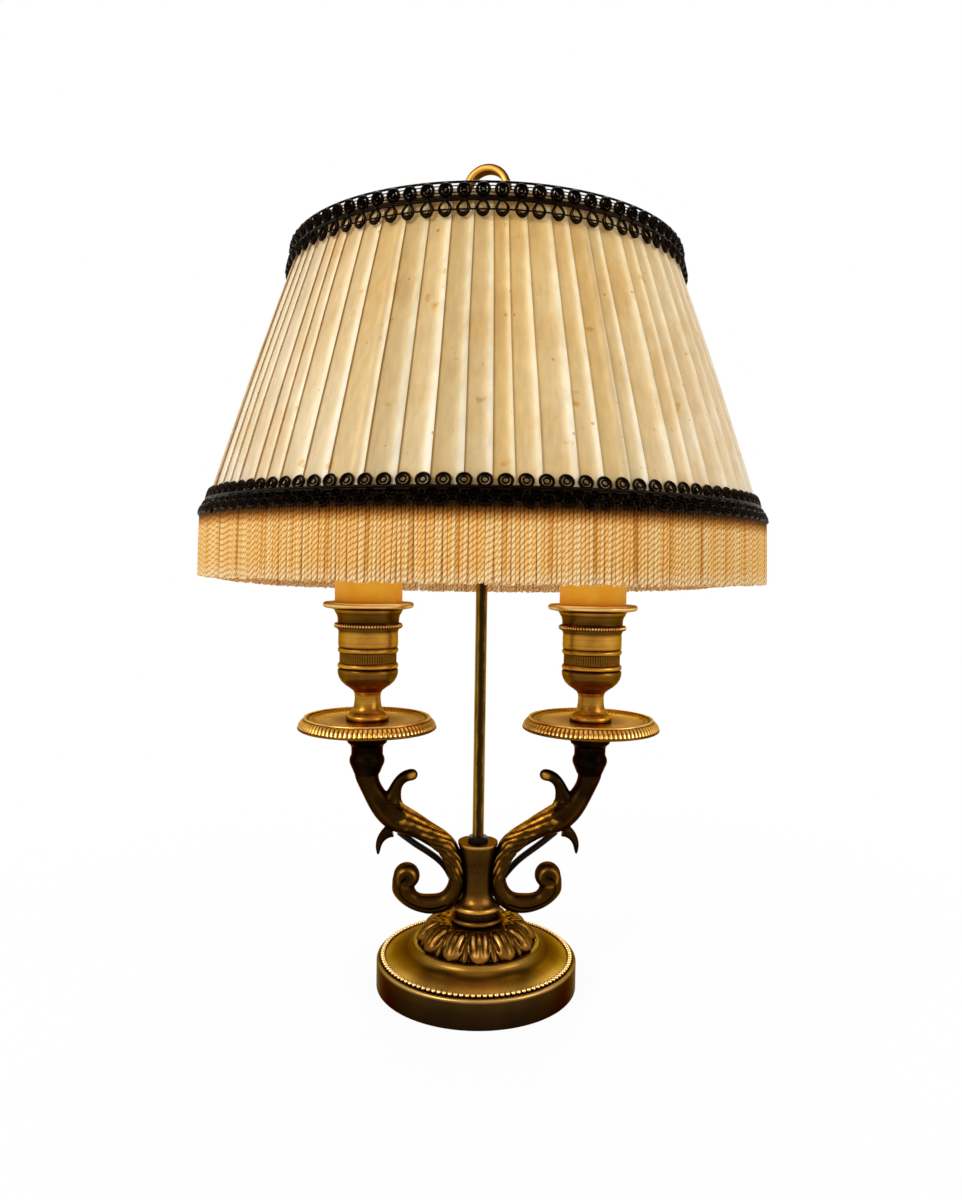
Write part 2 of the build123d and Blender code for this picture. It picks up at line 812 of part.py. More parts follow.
    with BuildPart() as sleeve:
        with BuildSketch(Plane.XY.offset(cup_top)):
            with Locations((side * candle_reach, 0)):
                Circle(sleeve_radius)
                Circle(sleeve_radius - sleeve_wall, mode=Mode.SUBTRACT)
        extrude(amount=sleeve_height)
    keep(sleeve.part, f"{name}_candle_sleeve")

    with BuildPart() as lampholder:
        with BuildSketch(Plane.XY.offset(holder_base)):
            with Locations((side * candle_reach, 0)):
                Circle(holder_radius)
        extrude(amount=holder_top - holder_base)
        with Locations((side * candle_reach, 0, holder_top)):
            Hole(bulb_cap_radius + running_fit, depth=holder_socket_depth)
        with Locations((side * candle_reach, 0, holder_base + holder_floor)):
            Hole(nipple_bore, depth=holder_floor)
    keep(lampholder.part, f"{name}_lampholder")

    cap_top = holder_top + bulb_lift + bulb_flange
    tip_level = holder_top + bulb_lift - bulb_cap_length - bulb_tip_length
    with BuildPart() as contact:
        with BuildSketch(Plane.XY.offset(socket_floor)):
            with Locations((side * candle_reach, 0)):
                Circle(contact_radius)
        extrude(amount=tip_level - contact_gap - socket_floor)
    keep(contact.part, f"{name}_contact")

    with BuildPart() as bulb_cap:
        with BuildSketch(candle_plane(side)):
            with BuildLine():
                Polyline(
                    (0, tip_level),
                    (bulb_tip_radius, tip_level),
                    (bulb_tip_radius + 1, tip_level + bulb_tip_length),
                    (bulb_cap_radius, tip_level + bulb_tip_length + bulb_insulator_height),
                    (bulb_cap_radius, cap_top - bulb_flange),
                    (bulb_neck_radius - 0.4, cap_top - bulb_flange),
                    (bulb_neck_radius, cap_top),
                    (0, cap_top),
                    (0, tip_level),
                )
            make_face()
        revolve(axis=candle_axis(side))
    keep(bulb_cap.part, f"{name}_bulb_cap")

    with BuildPart() as bulb:
        with BuildSketch(candle_plane(side)):
            for wall, mode in ((0, Mode.ADD), (bulb_glass, Mode.SUBTRACT)):
                with BuildLine():
                    flame = Spline(
                        (bulb_neck_radius - wall, cap_top),
                        (bulb_radius - wall, cap_top + bulb_widest_level),
                        (0, cap_top + bulb_length - wall),
                        tangents=((0.25, 1), (-1, 0.5)),
                    )
                    Line(flame @ 1, (0, cap_top))
                    Line((0, cap_top), flame @ 0)
                make_face(mode=mode)
        revolve(axis=candle_axis(side))
    keep(bulb.part, f"{name}_bulb_glass")

# ---------------------------------------------------------------- shade carrier
screw_axis_level = stop_top - screw_level
with BuildPart() as stop_collar:
    with BuildSketch(Plane.XY.offset(stop_top - stop_height)):
        Circle(stop_radius)
    extrude(amount=stop_height)
    with BuildSketch(Plane.XY.offset(stop_top - stop_flange)):
        Circle(stop_flange_radius)
    extrude(amount=stop_flange)
    with BuildSketch(Plane.XY.offset(stop_top)):
        Circle(stop_spigot_radius)
    extrude(amount=stop_spigot_height)
    with Locations((0, 0, stop_top + stop_spigot_height)):
        Hole(rod_radius + running_fit)
    with BuildSketch(Plane.XZ):
        with Locations((0, screw_axis_level)):
            Circle(screw_radius + running_fit)
    extrude(amount=-stop_radius, mode=Mode.SUBTRACT)
keep(stop_collar.part, "stop_collar")

screw_tip = rod_radius + running_fit
with BuildPart() as thumb_screw:
    with BuildSketch(Plane.XZ.offset(-screw_tip)):
        with Locations((0, screw_axis_level)):
            Circle(screw_radius)
    extrude(amount=-(screw_head_start - screw_tip))
    with BuildSketch(Plane.XZ.offset(-screw_head_start)):
        with Locations((0, screw_axis_level)):
            Circle(screw_head_radius)
    extrude(amount=-screw_head_length)
    chamfer(thumb_screw.edges().group_by(Axis.Y)[-1], screw_head_chamfer)
keep(thumb_screw.part, "thumb_screw")

# ---------------------------------------------------------------- shade frame
def ring_radius(height):
    """Centre line of the frame's wires inside the cover, at a height."""
    return cover_radius(height) - cover_thickness - cover_gap - 1.1 * frame_wire_radius


top_ring_level = shade_top - ring_inset
bottom_ring_level = shade_bottom + ring_inset
rib_top = Vector(ring_radius(top_ring_level), 0, top_ring_level)
rib_run = Vector(ring_radius(bottom_ring_level), 0, bottom_ring_level) - rib_top
with BuildPart() as rib:
    with BuildSketch(Plane(origin=rib_top, z_dir=rib_run)):
        Circle(rib_wire_radius)
    extrude(amount=rib_run.length)
with BuildPart() as shade_frame:
    with BuildSketch(Plane.XZ):
        for level in (top_ring_level, bottom_ring_level):
            with Locations((ring_radius(level), level)):
                Circle(frame_wire_radius)
    revolve(axis=rod_axis)
    with PolarLocations(0, rib_count, start_angle=rib_start_angle):
        add(rib.part)
keep(shade_frame.part, "shade_frame")

hub_base = stop_top + running_fit
spoke_start = Vector(stop_spigot_radius + spoke_seat, 0, hub_base + hub_height / 2)
spoke_reach = ring_radius(top_ring_level) - frame_wire_radius - spoke_weld_gap
spoke_end = Vector(spoke_reach, 0, top_ring_level)
spoke_run = spoke_end - spoke_start
with BuildPart() as spoke:
    with BuildSketch(Plane(origin=spoke_start, z_dir=spoke_run)):
        Circle(spoke_radius)
    extrude(amount=spoke_run.length)
with BuildPart() as spider:
    with BuildSketch(Plane.XY.offset(hub_base)):
        Circle(hub_radius)
    extrude(amount=hub_height)
    with PolarLocations(0, spoke_count, start_angle=spoke_start_angle):
        add(spoke.part)
    with Locations((0, 0, hub_base + hub_height)):
        Hole(stop_spigot_radius + running_fit)
keep(spider.part, "spider")

# ---------------------------------------------------------------- fabric of the shade
with BuildPart() as cover:
    with BuildSketch(Plane.XZ):
        Polygon(
            (cover_top_radius, shade_top),
            (cover_bottom_radius, shade_bottom),
            (cover_bottom_radius - cover_thickness, shade_bottom),
            (cover_top_radius - cover_thickness, shade_top),
            align=None,
        )
    revolve(axis=rod_axis)
keep(cover.part, "shade_cover")

lining_top = top_ring_level - frame_wire_radius - cover_gap
lining_bottom = shade_bottom + cover_gap
lining_in = 1.1 * frame_wire_radius + cover_gap
with BuildPart() as lining:
    with BuildSketch(Plane.XZ):
        Polygon(
            (ring_radius(lining_top) - lining_in, lining_top),
            (ring_radius(lining_bottom) - lining_in, lining_bottom),
            (ring_radius(lining_bottom) - lining_in - lining_thickness, lining_bottom),
            (ring_radius(lining_top) - lining_in - lining_thickness, lining_top),
            align=None,
        )
    revolve(axis=rod_axis)
keep(lining.part, "shade_lining")

top_braid_top = shade_top + top_braid_overhang
top_braid_bottom = top_braid_top - top_braid_height
with BuildPart() as top_braid:
    with BuildSketch(Plane.XZ):
        Polygon(
            (cover_top_radius, top_braid_top),
            (cover_top_radius, shade_top),
            (cover_radius(top_braid_bottom), top_braid_bottom),
            (cover_radius(top_braid_bottom) + braid_thickness, top_braid_bottom),
            (cover_top_radius + braid_thickness + top_braid_flare, top_braid_top),
            align=None,
        )
    revolve(axis=rod_axis)
keep(top_braid.part, "top_braid")

bottom_braid_bottom = shade_bottom - bottom_braid_overhang
bottom_braid_top = bottom_braid_bottom + bottom_braid_height
with BuildPart() as bottom_braid:
    with BuildSketch(Plane.XZ):
        Polygon(
            (cover_bottom_radius, bottom_braid_bottom),
            (cover_bottom_radius + braid_thickness, bottom_braid_bottom),
            (cover_radius(bottom_braid_top) + braid_thickness, bottom_braid_top),
            (cover_radius(bottom_braid_top), bottom_braid_top),
            (cover_bottom_radius, shade_bottom),
            align=None,
        )
    revolve(axis=rod_axis)
keep(bottom_braid.part, "bottom_braid")

fringe_front = bottom_braid_bottom - fringe_length
fringe_back = fringe_front - fringe_back_drop
fringe_foot_radius = cover_bottom_radius + fringe_splay
with BuildPart() as fringe:
    with BuildSketch(Plane.XZ):
        Polygon(
            (cover_bottom_radius, bottom_braid_bottom),
            (cover_bottom_radius + fringe_thickness, bottom_braid_bottom),
            (fringe_foot_radius + fringe_thickness, fringe_front),
            (fringe_foot_radius + fringe_thickness, fringe_back),
            (fringe_foot_radius, fringe_back),
            (fringe_foot_radius, fringe_front),
            align=None,
        )
    revolve(axis=rod_axis)
    reach = fringe_foot_radius + fringe_thickness
    with BuildSketch(Plane.YZ):
        Polygon(
            (-2 * reach, fringe_front),
            (0, fringe_front),
            (2 * reach, fringe_front - 2 * fringe_back_drop),
            (2 * reach, fringe_back - 2 * fringe_back_drop),
            (-2 * reach, fringe_back - 2 * fringe_back_drop),
            align=None,
        )
    extrude(amount=2 * reach, both=True, mode=Mode.SUBTRACT)
keep(fringe.part, "fringe")

# ---------------------------------------------------------------- finial
finial_base = rod_top - finial_bore_depth
finial_neck_top = finial_base + finial_neck_height
finial_ring_level = finial_neck_top - finial_ring_sunk + finial_ring_radius
turned = radians(finial_turned)
with BuildPart() as finial:
    with BuildSketch(Plane.XZ):
        with BuildLine():
            Polyline(
                (0, finial_neck_top),
                (0, finial_base),
                (finial_skirt_radius, finial_base),
                (finial_skirt_radius, finial_base + finial_skirt_height),
            )
            Spline(
                (finial_skirt_radius, finial_base + finial_skirt_height),
                (finial_neck_radius - 1.4, finial_base + 1.9 * finial_skirt_height),
                (finial_neck_radius - 0.6, finial_neck_top),
                tangents=((-1, 0.2), (0.5, 1)),
            )
            Line((finial_neck_radius - 0.6, finial_neck_top), (0, finial_neck_top))
        make_face()
    revolve(axis=rod_axis)
    with BuildSketch(
        Plane(
            origin=(0, 0, finial_ring_level),
            x_dir=(cos(turned), -sin(turned), 0),
            z_dir=(-sin(turned), -cos(turned), 0),
        )
    ):
        Circle(finial_ring_radius)
        Circle(finial_ring_radius - finial_ring_section, mode=Mode.SUBTRACT)
    extrude(amount=finial_ring_width / 2, both=True)
    with BuildSketch(Plane.XY.offset(finial_base)):
        Circle(rod_radius + running_fit)
    extrude(amount=finial_bore_depth + running_fit, mode=Mode.SUBTRACT)
keep(finial.part, "ring_finial")
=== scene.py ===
# %% [markdown]
# # A two-light bouillotte lamp
# A bouillotte lamp is a small table lamp with candle lights on a brass stand and one drum shade
# over them. The stand, the holders and the hidden hardware come from the CAD model. This file
# gives every piece its finish, and remakes the carved, pleated, braided and fringed pieces, which
# are too fine for CAD. Everything is in metres, with +Z up the rod and the arms along -X and +X.

# %% Load the frame
from functools import partial
from math import cos, pi, radians, sin, sqrt

import bmesh
import bpy
import numpy as np
from mathutils import Matrix, Vector, noise


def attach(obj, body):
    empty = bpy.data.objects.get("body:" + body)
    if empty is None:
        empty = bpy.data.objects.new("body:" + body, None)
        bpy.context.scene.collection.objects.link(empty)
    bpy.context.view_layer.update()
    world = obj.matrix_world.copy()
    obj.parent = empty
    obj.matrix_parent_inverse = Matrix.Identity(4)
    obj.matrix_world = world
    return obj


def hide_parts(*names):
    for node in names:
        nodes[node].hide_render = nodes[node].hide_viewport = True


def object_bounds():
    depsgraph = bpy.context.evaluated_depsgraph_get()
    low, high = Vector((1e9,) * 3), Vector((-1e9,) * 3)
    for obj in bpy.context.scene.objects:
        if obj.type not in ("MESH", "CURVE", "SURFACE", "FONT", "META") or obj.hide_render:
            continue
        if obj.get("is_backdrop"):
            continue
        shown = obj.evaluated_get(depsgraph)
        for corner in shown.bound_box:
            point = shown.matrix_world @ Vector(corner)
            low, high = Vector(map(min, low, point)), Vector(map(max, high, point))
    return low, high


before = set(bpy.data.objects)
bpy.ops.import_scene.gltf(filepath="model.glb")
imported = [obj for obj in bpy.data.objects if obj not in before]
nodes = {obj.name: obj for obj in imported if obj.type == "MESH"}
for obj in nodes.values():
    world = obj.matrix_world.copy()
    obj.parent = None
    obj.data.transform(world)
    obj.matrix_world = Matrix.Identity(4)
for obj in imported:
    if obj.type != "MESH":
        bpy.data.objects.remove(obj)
cad_box = [list(corner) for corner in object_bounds()]
mm = 0.001
print("CAD nodes:", len(nodes), "box:", [[round(v, 4) for v in corner] for corner in cad_box])

# %% [markdown]
# ## Camera
# The camera stands 0.39 m in front of the rod, a little to the left of it and about as high as
# the bottom of the shade. It leans by less than a degree. The matrix is made from its own three
# directions, because a tilt, a turn and a roll are easier to keep apart that way.

# %% Camera
heading, pitch, roll = 0.0595, -0.0386, 0.0152
ahead = Vector((sin(heading) * cos(pitch), cos(heading) * cos(pitch), sin(pitch)))
level_right = Vector((cos(heading), -sin(heading), 0))
level_up = level_right.cross(ahead)
right = cos(roll) * level_right + sin(roll) * level_up
up = cos(roll) * level_up - sin(roll) * level_right
camera_data = bpy.data.cameras.new("camera")
camera_data.lens = 27.08
camera_data.sensor_width = 36.0
camera_data.clip_start = 0.01
camera = bpy.data.objects.new("camera", camera_data)
camera.matrix_world = Matrix.Translation((-0.02375, -0.3942, 0.18462)) @ Matrix(
    (right, up, -ahead)
).transposed().to_4x4()
bpy.context.scene.collection.objects.link(camera)
bpy.context.scene.camera = camera
print("camera at", [round(v, 3) for v in camera.matrix_world.translation])

# %% [markdown]
# ## Colours and nodes
# Colours are written as hex values, as in any paint program. Blender's shaders work in linear
# light, so one function turns a hex value to linear. Another adds one node with its settings and
# links, and every finish below is made with it. Two more do what nearly every finish needs: patches
# of colour from a cloudy noise, and a shader's colour with its relief.


# %% Colour and node helpers
def linear(hex_colour):
    """The linear colour of an sRGB hex value."""
    parts = [int(hex_colour[i : i + 2], 16) / 255 for i in (1, 3, 5)]
    return [c / 12.92 if c <= 0.04045 else ((c + 0.055) / 1.055) ** 2.4 for c in parts] + [1.0]


def set_inputs(node, inputs):
    """Set or link a node's inputs, in order or by name. A node links by its first output in use."""
    for key, value in inputs.items() if isinstance(inputs, dict) else enumerate(inputs):
        if isinstance(value, bpy.types.Node):
            value = next(output for output in value.outputs if output.enabled)
        if isinstance(value, bpy.types.NodeSocket):
            node.id_data.links.new(value, node.inputs[key])
        else:
            node.inputs[key].default_value = value


def add_node(tree, kind, inputs=(), stops=(), **settings):
    """Add one node with its settings, its inputs and the colours of its ramp."""
    made = tree.nodes.new("ShaderNode" + kind)
    for key, value in settings.items():
        setattr(made, key, value)
    set_inputs(made, inputs)
    for _ in stops[2:]:
        made.color_ramp.elements.new(1.0)
    for i, (place, colour) in enumerate(stops):
        made.color_ramp.elements[i].position = place
        made.color_ramp.elements[i].color = linear(colour)
    return made


def new_finish(name, **values):
    """A material, what adds a node to it, its Principled shader and its Object coordinates."""
    finish = bpy.data.materials.new(name)
    finish.use_nodes = True
    shader = finish.node_tree.nodes["Principled BSDF"]
    set_inputs(shader, {key.replace("_", " "): value for key, value in values.items()})
    add = partial(add_node, finish.node_tree)
    return finish, add, shader, add("TexCoord").outputs["Object"]


def patches(place, scale, detail, stops):
    """Cloudy patches: a noise, and the colours that a ramp gives it."""
    tree = place.id_data
    cloud = add_node(tree, "TexNoise", {"Vector": place, "Scale": scale, "Detail": detail})
    return cloud, add_node(tree, "ValToRGB", [cloud], stops)


def surfaced(shader, colour, height=None, strength=0.0, depth=0.0003, through=0.0):
    """Give a shader its colour and its relief, and let a share of the light through it."""
    tree = shader.id_data
    set_inputs(shader, {"Base Color": colour})
    if height is not None:
        bump = add_node(tree, "Bump", {"Height": height, "Strength": strength, "Distance": depth})
        set_inputs(shader, {"Normal": bump})
    if through:
        behind = add_node(tree, "BsdfTranslucent", [colour])
        mixed = add_node(tree, "MixShader", [through, shader, behind])
        set_inputs(tree.nodes["Material Output"], [mixed])


print("linear mid grey:", round(linear("#808080")[0], 3))

# %% [markdown]
# ## Making a piece
# A piece is drawn in a bmesh in millimetres, because the real sizes are then easy to read. The next
# helpers turn it to metres, shade it smooth apart from its sharp edges, give it a finish and let it
# ride on its body. A turned piece is one profile spun about an upright axis. Each point of a
# profile has a radius, a height and how worn it is, from -1 in a dark groove to +1 on a rubbed
# edge; the brass finishes read that as the wear attribute, which on the beads, the leaf dome and
# the arms also carries painted light.


# %% Piece helpers
lamp_sides = (("left", -1), ("right", 1))
cord_sides = 5


def in_scene(name, data):
    """A new object in the scene."""
    made = bpy.data.objects.new(name, data)
    bpy.context.scene.collection.objects.link(made)
    return made


def seated(name, data, finish, body):
    """An object with its finish that rides on a body of the lamp."""
    piece = in_scene(name, data)
    data.materials.append(finish)
    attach(piece, body)
    return piece


def finished(name, shape, finish, body, sharp=35):
    """Turn a bmesh in millimetres into a piece of the lamp."""
    bmesh.ops.scale(shape, vec=(mm, mm, mm), verts=shape.verts)
    for face in shape.faces:
        face.smooth = True
    for edge in shape.edges:
        edge.smooth = len(edge.link_faces) != 2 or edge.calc_face_angle(0) < radians(sharp)
    mesh = bpy.data.meshes.new(name)
    shape.to_mesh(mesh)
    shape.free()
    print(name, "has", len(mesh.polygons), "faces")
    return seated(name, mesh, finish, body)


def spun(shape, steps, centre=0.0):
    """Spin all of a bmesh about the upright axis at x = centre, and close it."""
    bmesh.ops.spin(
        shape, geom=shape.verts[:] + shape.edges[:], cent=(centre, 0, 0), axis=(0, 0, 1),
        angle=2 * pi, steps=steps, use_merge=True,
    )
    bmesh.ops.remove_doubles(shape, verts=shape.verts, dist=1e-4)
    bmesh.ops.recalc_face_normals(shape, faces=shape.faces)
    return shape


def turned(profile, steps, centre=0.0):
    """Spin a closed profile of (radius, height, wear) about the upright axis at x = centre."""
    shape = bmesh.new()
    wear_and_light = shape.verts.layers.float.new("wear_and_light")
    points = [shape.verts.new((centre + radius, 0, height)) for radius, height, _ in profile]
    for point, (_, _, worn_and_lit) in zip(points, profile):
        point[wear_and_light] = worn_and_lit
    for pair in zip(points, points[1:] + points[:1]):
        shape.edges.new(pair)
    return spun(shape, steps, centre)


def ring_of_cord(radius, thickness, steps, height=0.0):
    """A closed ring of round cord about Z."""
    shape = bmesh.new()
    bmesh.ops.create_circle(shape, segments=cord_sides, radius=thickness / 2)
    bmesh.ops.rotate(shape, verts=shape.verts, matrix=Matrix.Rotation(pi / 2, 3, "X"))
    bmesh.ops.translate(shape, verts=shape.verts, vec=(radius, 0, height))
    return spun(shape, steps)


def repeated(shape, places):
    """One bmesh with a copy of the shape at each place."""
    pattern = bpy.data.meshes.new("pattern")
    shape.to_mesh(pattern)
    shape.free()
    whole = bmesh.new()
    for place in places:
        copy = pattern.copy()
        copy.transform(place)
        whole.from_mesh(copy)
        bpy.data.meshes.remove(copy)
    bpy.data.meshes.remove(pattern)
    return whole


def joined(*shapes):
    """Several bmeshes as one."""
    whole = bmesh.new()
    for shape in shapes:
        mesh = bpy.data.meshes.new("part")
        shape.to_mesh(mesh)
        shape.free()
        whole.from_mesh(mesh)
        bpy.data.meshes.remove(mesh)
    return whole


def ball_at(place, sizes, segments=32, rings=20):
    """A ball with its own half size along X, Y and Z."""
    ball = bmesh.new()
    bmesh.ops.create_uvsphere(ball, u_segments=segments, v_segments=rings, radius=1.0)
    bmesh.ops.scale(ball, vec=sizes, verts=ball.verts)
    bmesh.ops.translate(ball, vec=place, verts=ball.verts)
    return ball


def rubbed_and_lit(shape, high, low, is_high):
    """Give a small shape its wear and painted light: high where a point passes the test, low
    elsewhere.
    """
    wear_and_light = shape.verts.layers.float.new("wear_and_light")
    for spot in shape.verts:
        spot[wear_and_light] = high if is_high(spot.co) else low
    return shape


def turns_round(count, start=0.0):
    """The turns about Z that set copies out evenly round a circle."""
    return [Matrix.Rotation(2 * pi * i / count + start, 4, "Z") for i in range(count)]


def dress(finish, *names):
    """Give CAD nodes their finish."""
    for name in names:
        nodes[name].data.materials.clear()
        nodes[name].data.materials.append(finish)


print("helpers ready")

# %% [markdown]
# ## Brass
# The stand is cast brass that was dipped dark and then rubbed, so it stays nearly black in its
# hollows and shows gold on its high spots. Metal is Metallic 1 with no paint over it: its colour is
# the colour of its reflections. The patina is one ramp from dark to gold. What moves along the ramp
# is the wear that each carved or turned piece carries, which on the beads, the leaf dome and the
# arms also holds painted light, and a cloudy noise whose patches are about 8 mm wide. Fine
# scratches of about 0.6 mm break up the shine. On turned pieces a noise that runs only up the
# height adds the rings that a lathe leaves. A brown edge tint keeps glancing reflections brassy, as
# old lacquer does.


# %% Brass finishes
edge_tint = linear("#cdb48a")


def bare_brass(name, roughness):
    """Brass with no colour yet."""
    return new_finish(name, Metallic=1.0, Roughness=roughness, Specular_Tint=edge_tint)


def brass(name, dark, middle, bright, brightest_gold, roughness, clouds, lathe=0.0):
    """Brass whose wear and painted light, clouds and lathe rings pick from four colours."""
    finish, add, shader, place = bare_brass(name, roughness)
    cloud = add("TexNoise", {"Vector": place, "Scale": 125.0, "Detail": 5.0})
    wear_and_light = add("Attribute", attribute_name="wear_and_light").outputs["Fac"]
    worn_and_lit = add("MapRange", [wear_and_light, -1.0, 1.0])
    patch = add("Math", [cloud, clouds, -clouds / 2], operation="MULTIPLY_ADD")
    level = add("Math", [worn_and_lit, patch])
    height = add("SeparateXYZ", [place]).outputs["Z"]
    rings = add("TexNoise", {"W": height, "Scale": 1500.0, "Detail": 2.0}, noise_dimensions="1D")
    level = add("Math", [rings, lathe, level], operation="MULTIPLY_ADD")
    stops = [(0.12, dark), (0.5, middle), (0.8, bright), (1.0, brightest_gold)]
    colour = add("ValToRGB", [level], stops)
    scratch = add("TexNoise", {"Vector": place, "Scale": 1600.0, "Detail": 2.0})
    surfaced(shader, colour, scratch, 0.12, 0.0002)
    return finish


dark_cast = brass("cast brass, dark patina", "#080402", "#402809", "#b97f28", "#efbc5c", 0.36, 0.35)
dome_brass = brass("cast brass, chased", "#120902", "#5a3b14", "#b9863a", "#f7d58e", 0.33, 0.25)
satin_brass = brass(
    "turned brass, satin", "#1b0e02", "#744c16", "#cb9236", "#f3d08c", 0.3, 0.3, 0.22
)
print("brass finishes: 3")

# %% [markdown]
# The foot is one casting in three zones: a nearly black band round its side, a lip with a painted
# highlight, and a satin dish. Its zones follow its own radius and height, so they are worked out
# from Object coordinates: the radius picks dish or band, and the height finds the lip. The dish is
# painted in rings of light and shade: dark at the foot of the dome, a painted highlight round its
# seat, a painted shadow down its slope and a painted reflection of gold by the beads. The band is
# painted lighter upwards. The front is painted brighter than the sides and the back, as a
# reflection.

# %% Foot finish
dish_inside, dish_outside, band_radius, lip_level = 24 * mm, 44 * mm, 43.85 * mm, 12.5 * mm
foot_finish, add, shader, place = bare_brass("cast brass foot", 0.34)
parts = add("SeparateXYZ", [place]).outputs
flat = add("VectorMath", [place, (1, 1, 0)], operation="MULTIPLY")
radius = add("VectorMath", [flat], operation="LENGTH")
across = add("MapRange", [radius, dish_inside, dish_outside])
# The dish's rings paint light and shade: a highlight round the seat of the dome, a shadow down its
# slope and a reflection of gold by the beads.
dish = add(
    "ValToRGB", [across],
    [
        (0.0, "#3a260c"), (0.12, "#d9b468"), (0.19, "#9c722c"), (0.36, "#6c4a18"),
        (0.48, "#885f21"), (0.6, "#a9782d"), (0.72, "#dcaa48"), (0.79, "#e6b658"),
        (0.83, "#7a5820"), (0.855, "#2a1a08"), (0.93, "#2e1e0b"), (0.985, "#cfa45a"),
        (1.0, "#8f6a30"),
    ],
)
# The band is painted lighter upwards, with a painted highlight under the lip.
upward = add("MapRange", [parts["Z"], 0.0, lip_level])
band = add(
    "ValToRGB", [upward], [(0.0, "#1f1307"), (0.5, "#2c1c0a"), (0.86, "#3d2a10"), (0.95, "#b98c4c")]
)
side = add("Math", [radius, band_radius], operation="GREATER_THAN")
zones = add("Mix", {0: side, 6: dish, 7: band}, data_type="RGBA")
cloud = add("TexNoise", {"Vector": place, "Scale": 90.0, "Detail": 6.0})
shade = add("MapRange", [cloud, 0.3, 0.75, 0.72, 1.12])
# The front is painted brighter, as a reflection.
front_highlight = add("MapRange", [parts["Y"], -0.034, -0.008, 1.0, 0.5])
tone = add("Math", [shade, front_highlight], operation="MULTIPLY")
toned = add("VectorMath", [zones, tone], operation="MULTIPLY")
lathe_lines = add("TexNoise", {"W": radius, "Scale": 2500.0, "Detail": 1.0}, noise_dimensions="1D")
surfaced(shader, toned, lathe_lines, 0.1, 0.0002)
dress(foot_finish, "base_foot")
print("foot zones: dish, lip and band")

# %% [markdown]
# The column is dark in its long waist and has painted highlights on its rim and on the bulge at its
# foot. Its zones follow the height alone, and a fine noise speckles the colour, which breaks the
# painted highlight on the bulge into glints.

# %% Column finish
column_foot, column_rim = 27.3 * mm, 62.7 * mm
column_finish, add, shader, place = bare_brass("cast brass column", 0.33)
height = add("SeparateXYZ", [place]).outputs["Z"]
upward = add("MapRange", [height, column_foot, column_rim])
# The bright bands at the rim and at the bulge are painted highlights.
zones = add(
    "ValToRGB", [upward],
    [
        (0.0, "#2a1807"), (0.045, "#80581f"), (0.09, "#22130a"), (0.14, "#2c1b08"),
        (0.19, "#c18b3c"), (0.25, "#80581f"), (0.38, "#4a300f"), (0.75, "#38230b"),
        (0.95, "#50360f"), (0.985, "#c0924a"), (1.0, "#553913"),
    ],
)
speck = add("TexNoise", {"Vector": place, "Scale": 900.0, "Detail": 4.0})
speckle = add("MapRange", [speck, 0.3, 0.7, 0.75, 1.15])
toned = add("VectorMath", [zones, speckle], operation="MULTIPLY")
surfaced(shader, toned, speck, 0.2)
print("column zones follow the height")

# %% [markdown]
# The rod is a drawn tube. It is painted gold at its left side and a little at its right, and nearly
# black between, as the reflections on a round tube.

# %% Rod finish
rod_radius = 2.5 * mm
rod_finish, add, shader, place = bare_brass("drawn brass tube", 0.3)
patina = add("TexNoise", {"Vector": place, "Scale": 160.0, "Detail": 4.0})
from_middle = add("SeparateXYZ", [place]).outputs["X"]
sideways = add("MapRange", [from_middle, -rod_radius, rod_radius])
wander = add("Math", [patina, 0.24, sideways], operation="MULTIPLY_ADD")
# Gold at the sides and nearly black between are painted reflections.
painted_reflections = add(
    "ValToRGB", [wander],
    [
        (0.1, "#a8842f"), (0.34, "#8a6a26"), (0.46, "#33220b"), (0.62, "#241708"),
        (0.86, "#3a270d"), (0.97, "#a07c30"), (1.0, "#a8843a"),
    ],
)
surfaced(shader, painted_reflections, patina, 0.1, 0.0002)
print("rod rubbed at its sides")

# %% [markdown]
# ## The other plain finishes
# Black phenolic plastic, zinc-plated steel, white-painted frame wire, glazed porcelain,
# pressed felt, black wire jacket, nickelled caps and waxed card. Each gets a little variation,
# because even a plain moulding is never one flat colour.


# %% Plain finishes
def plain(name, colour, second, roughness, grain_mm, relief=0.15, **values):
    """Two close colours in patches of a real size, with a relief of the same size."""
    finish, add, shader, place = new_finish(name, Roughness=roughness, **values)
    stops = [(0.35, colour), (0.65, second)]
    grain, colours = patches(place, 1000.0 / grain_mm, 4.0, stops)
    surfaced(shader, colours, grain, relief)
    return finish


dark_gloss = {"Specular_IOR_Level": 0.3, "Specular_Tint": linear("#b58f62")}
black_plastic = plain("moulded phenolic", "#0b0807", "#16100b", 0.38, 3, **dark_gloss)
zinc_steel = plain("zinc plated steel", "#8e8f8c", "#b5b4ae", 0.35, 2, Metallic=1.0)
painted_wire = plain("white painted wire", "#d8d2c2", "#c6bda8", 0.45, 4)
porcelain = plain("glazed porcelain", "#e6e2d8", "#d9d4c8", 0.15, 6)
felt = plain("pressed wool felt", "#12301a", "#1c4426", 0.95, 0.5, relief=0.8)
jacket = plain("black wire jacket", "#0a0807", "#1a120c", 0.36, 5, **dark_gloss)
nickel = plain("nickelled screw cap", "#b9b6ad", "#d2cfc6", 0.28, 3, Metallic=1.0)
card = plain(
    "waxed candle card", "#ffb42c", "#ffc23e", 0.6, 9, relief=0.05, Specular_IOR_Level=0.15
)
print("plain finishes: 8")

# %% [markdown]
# The bulbs are frosted glass and lit. A frosted bulb is seen as a glowing skin, so the glass
# itself gives off a warm light. It is kept low: the studio lights the lamp, and the bulbs only
# warm the inside of the shade and the brass below.

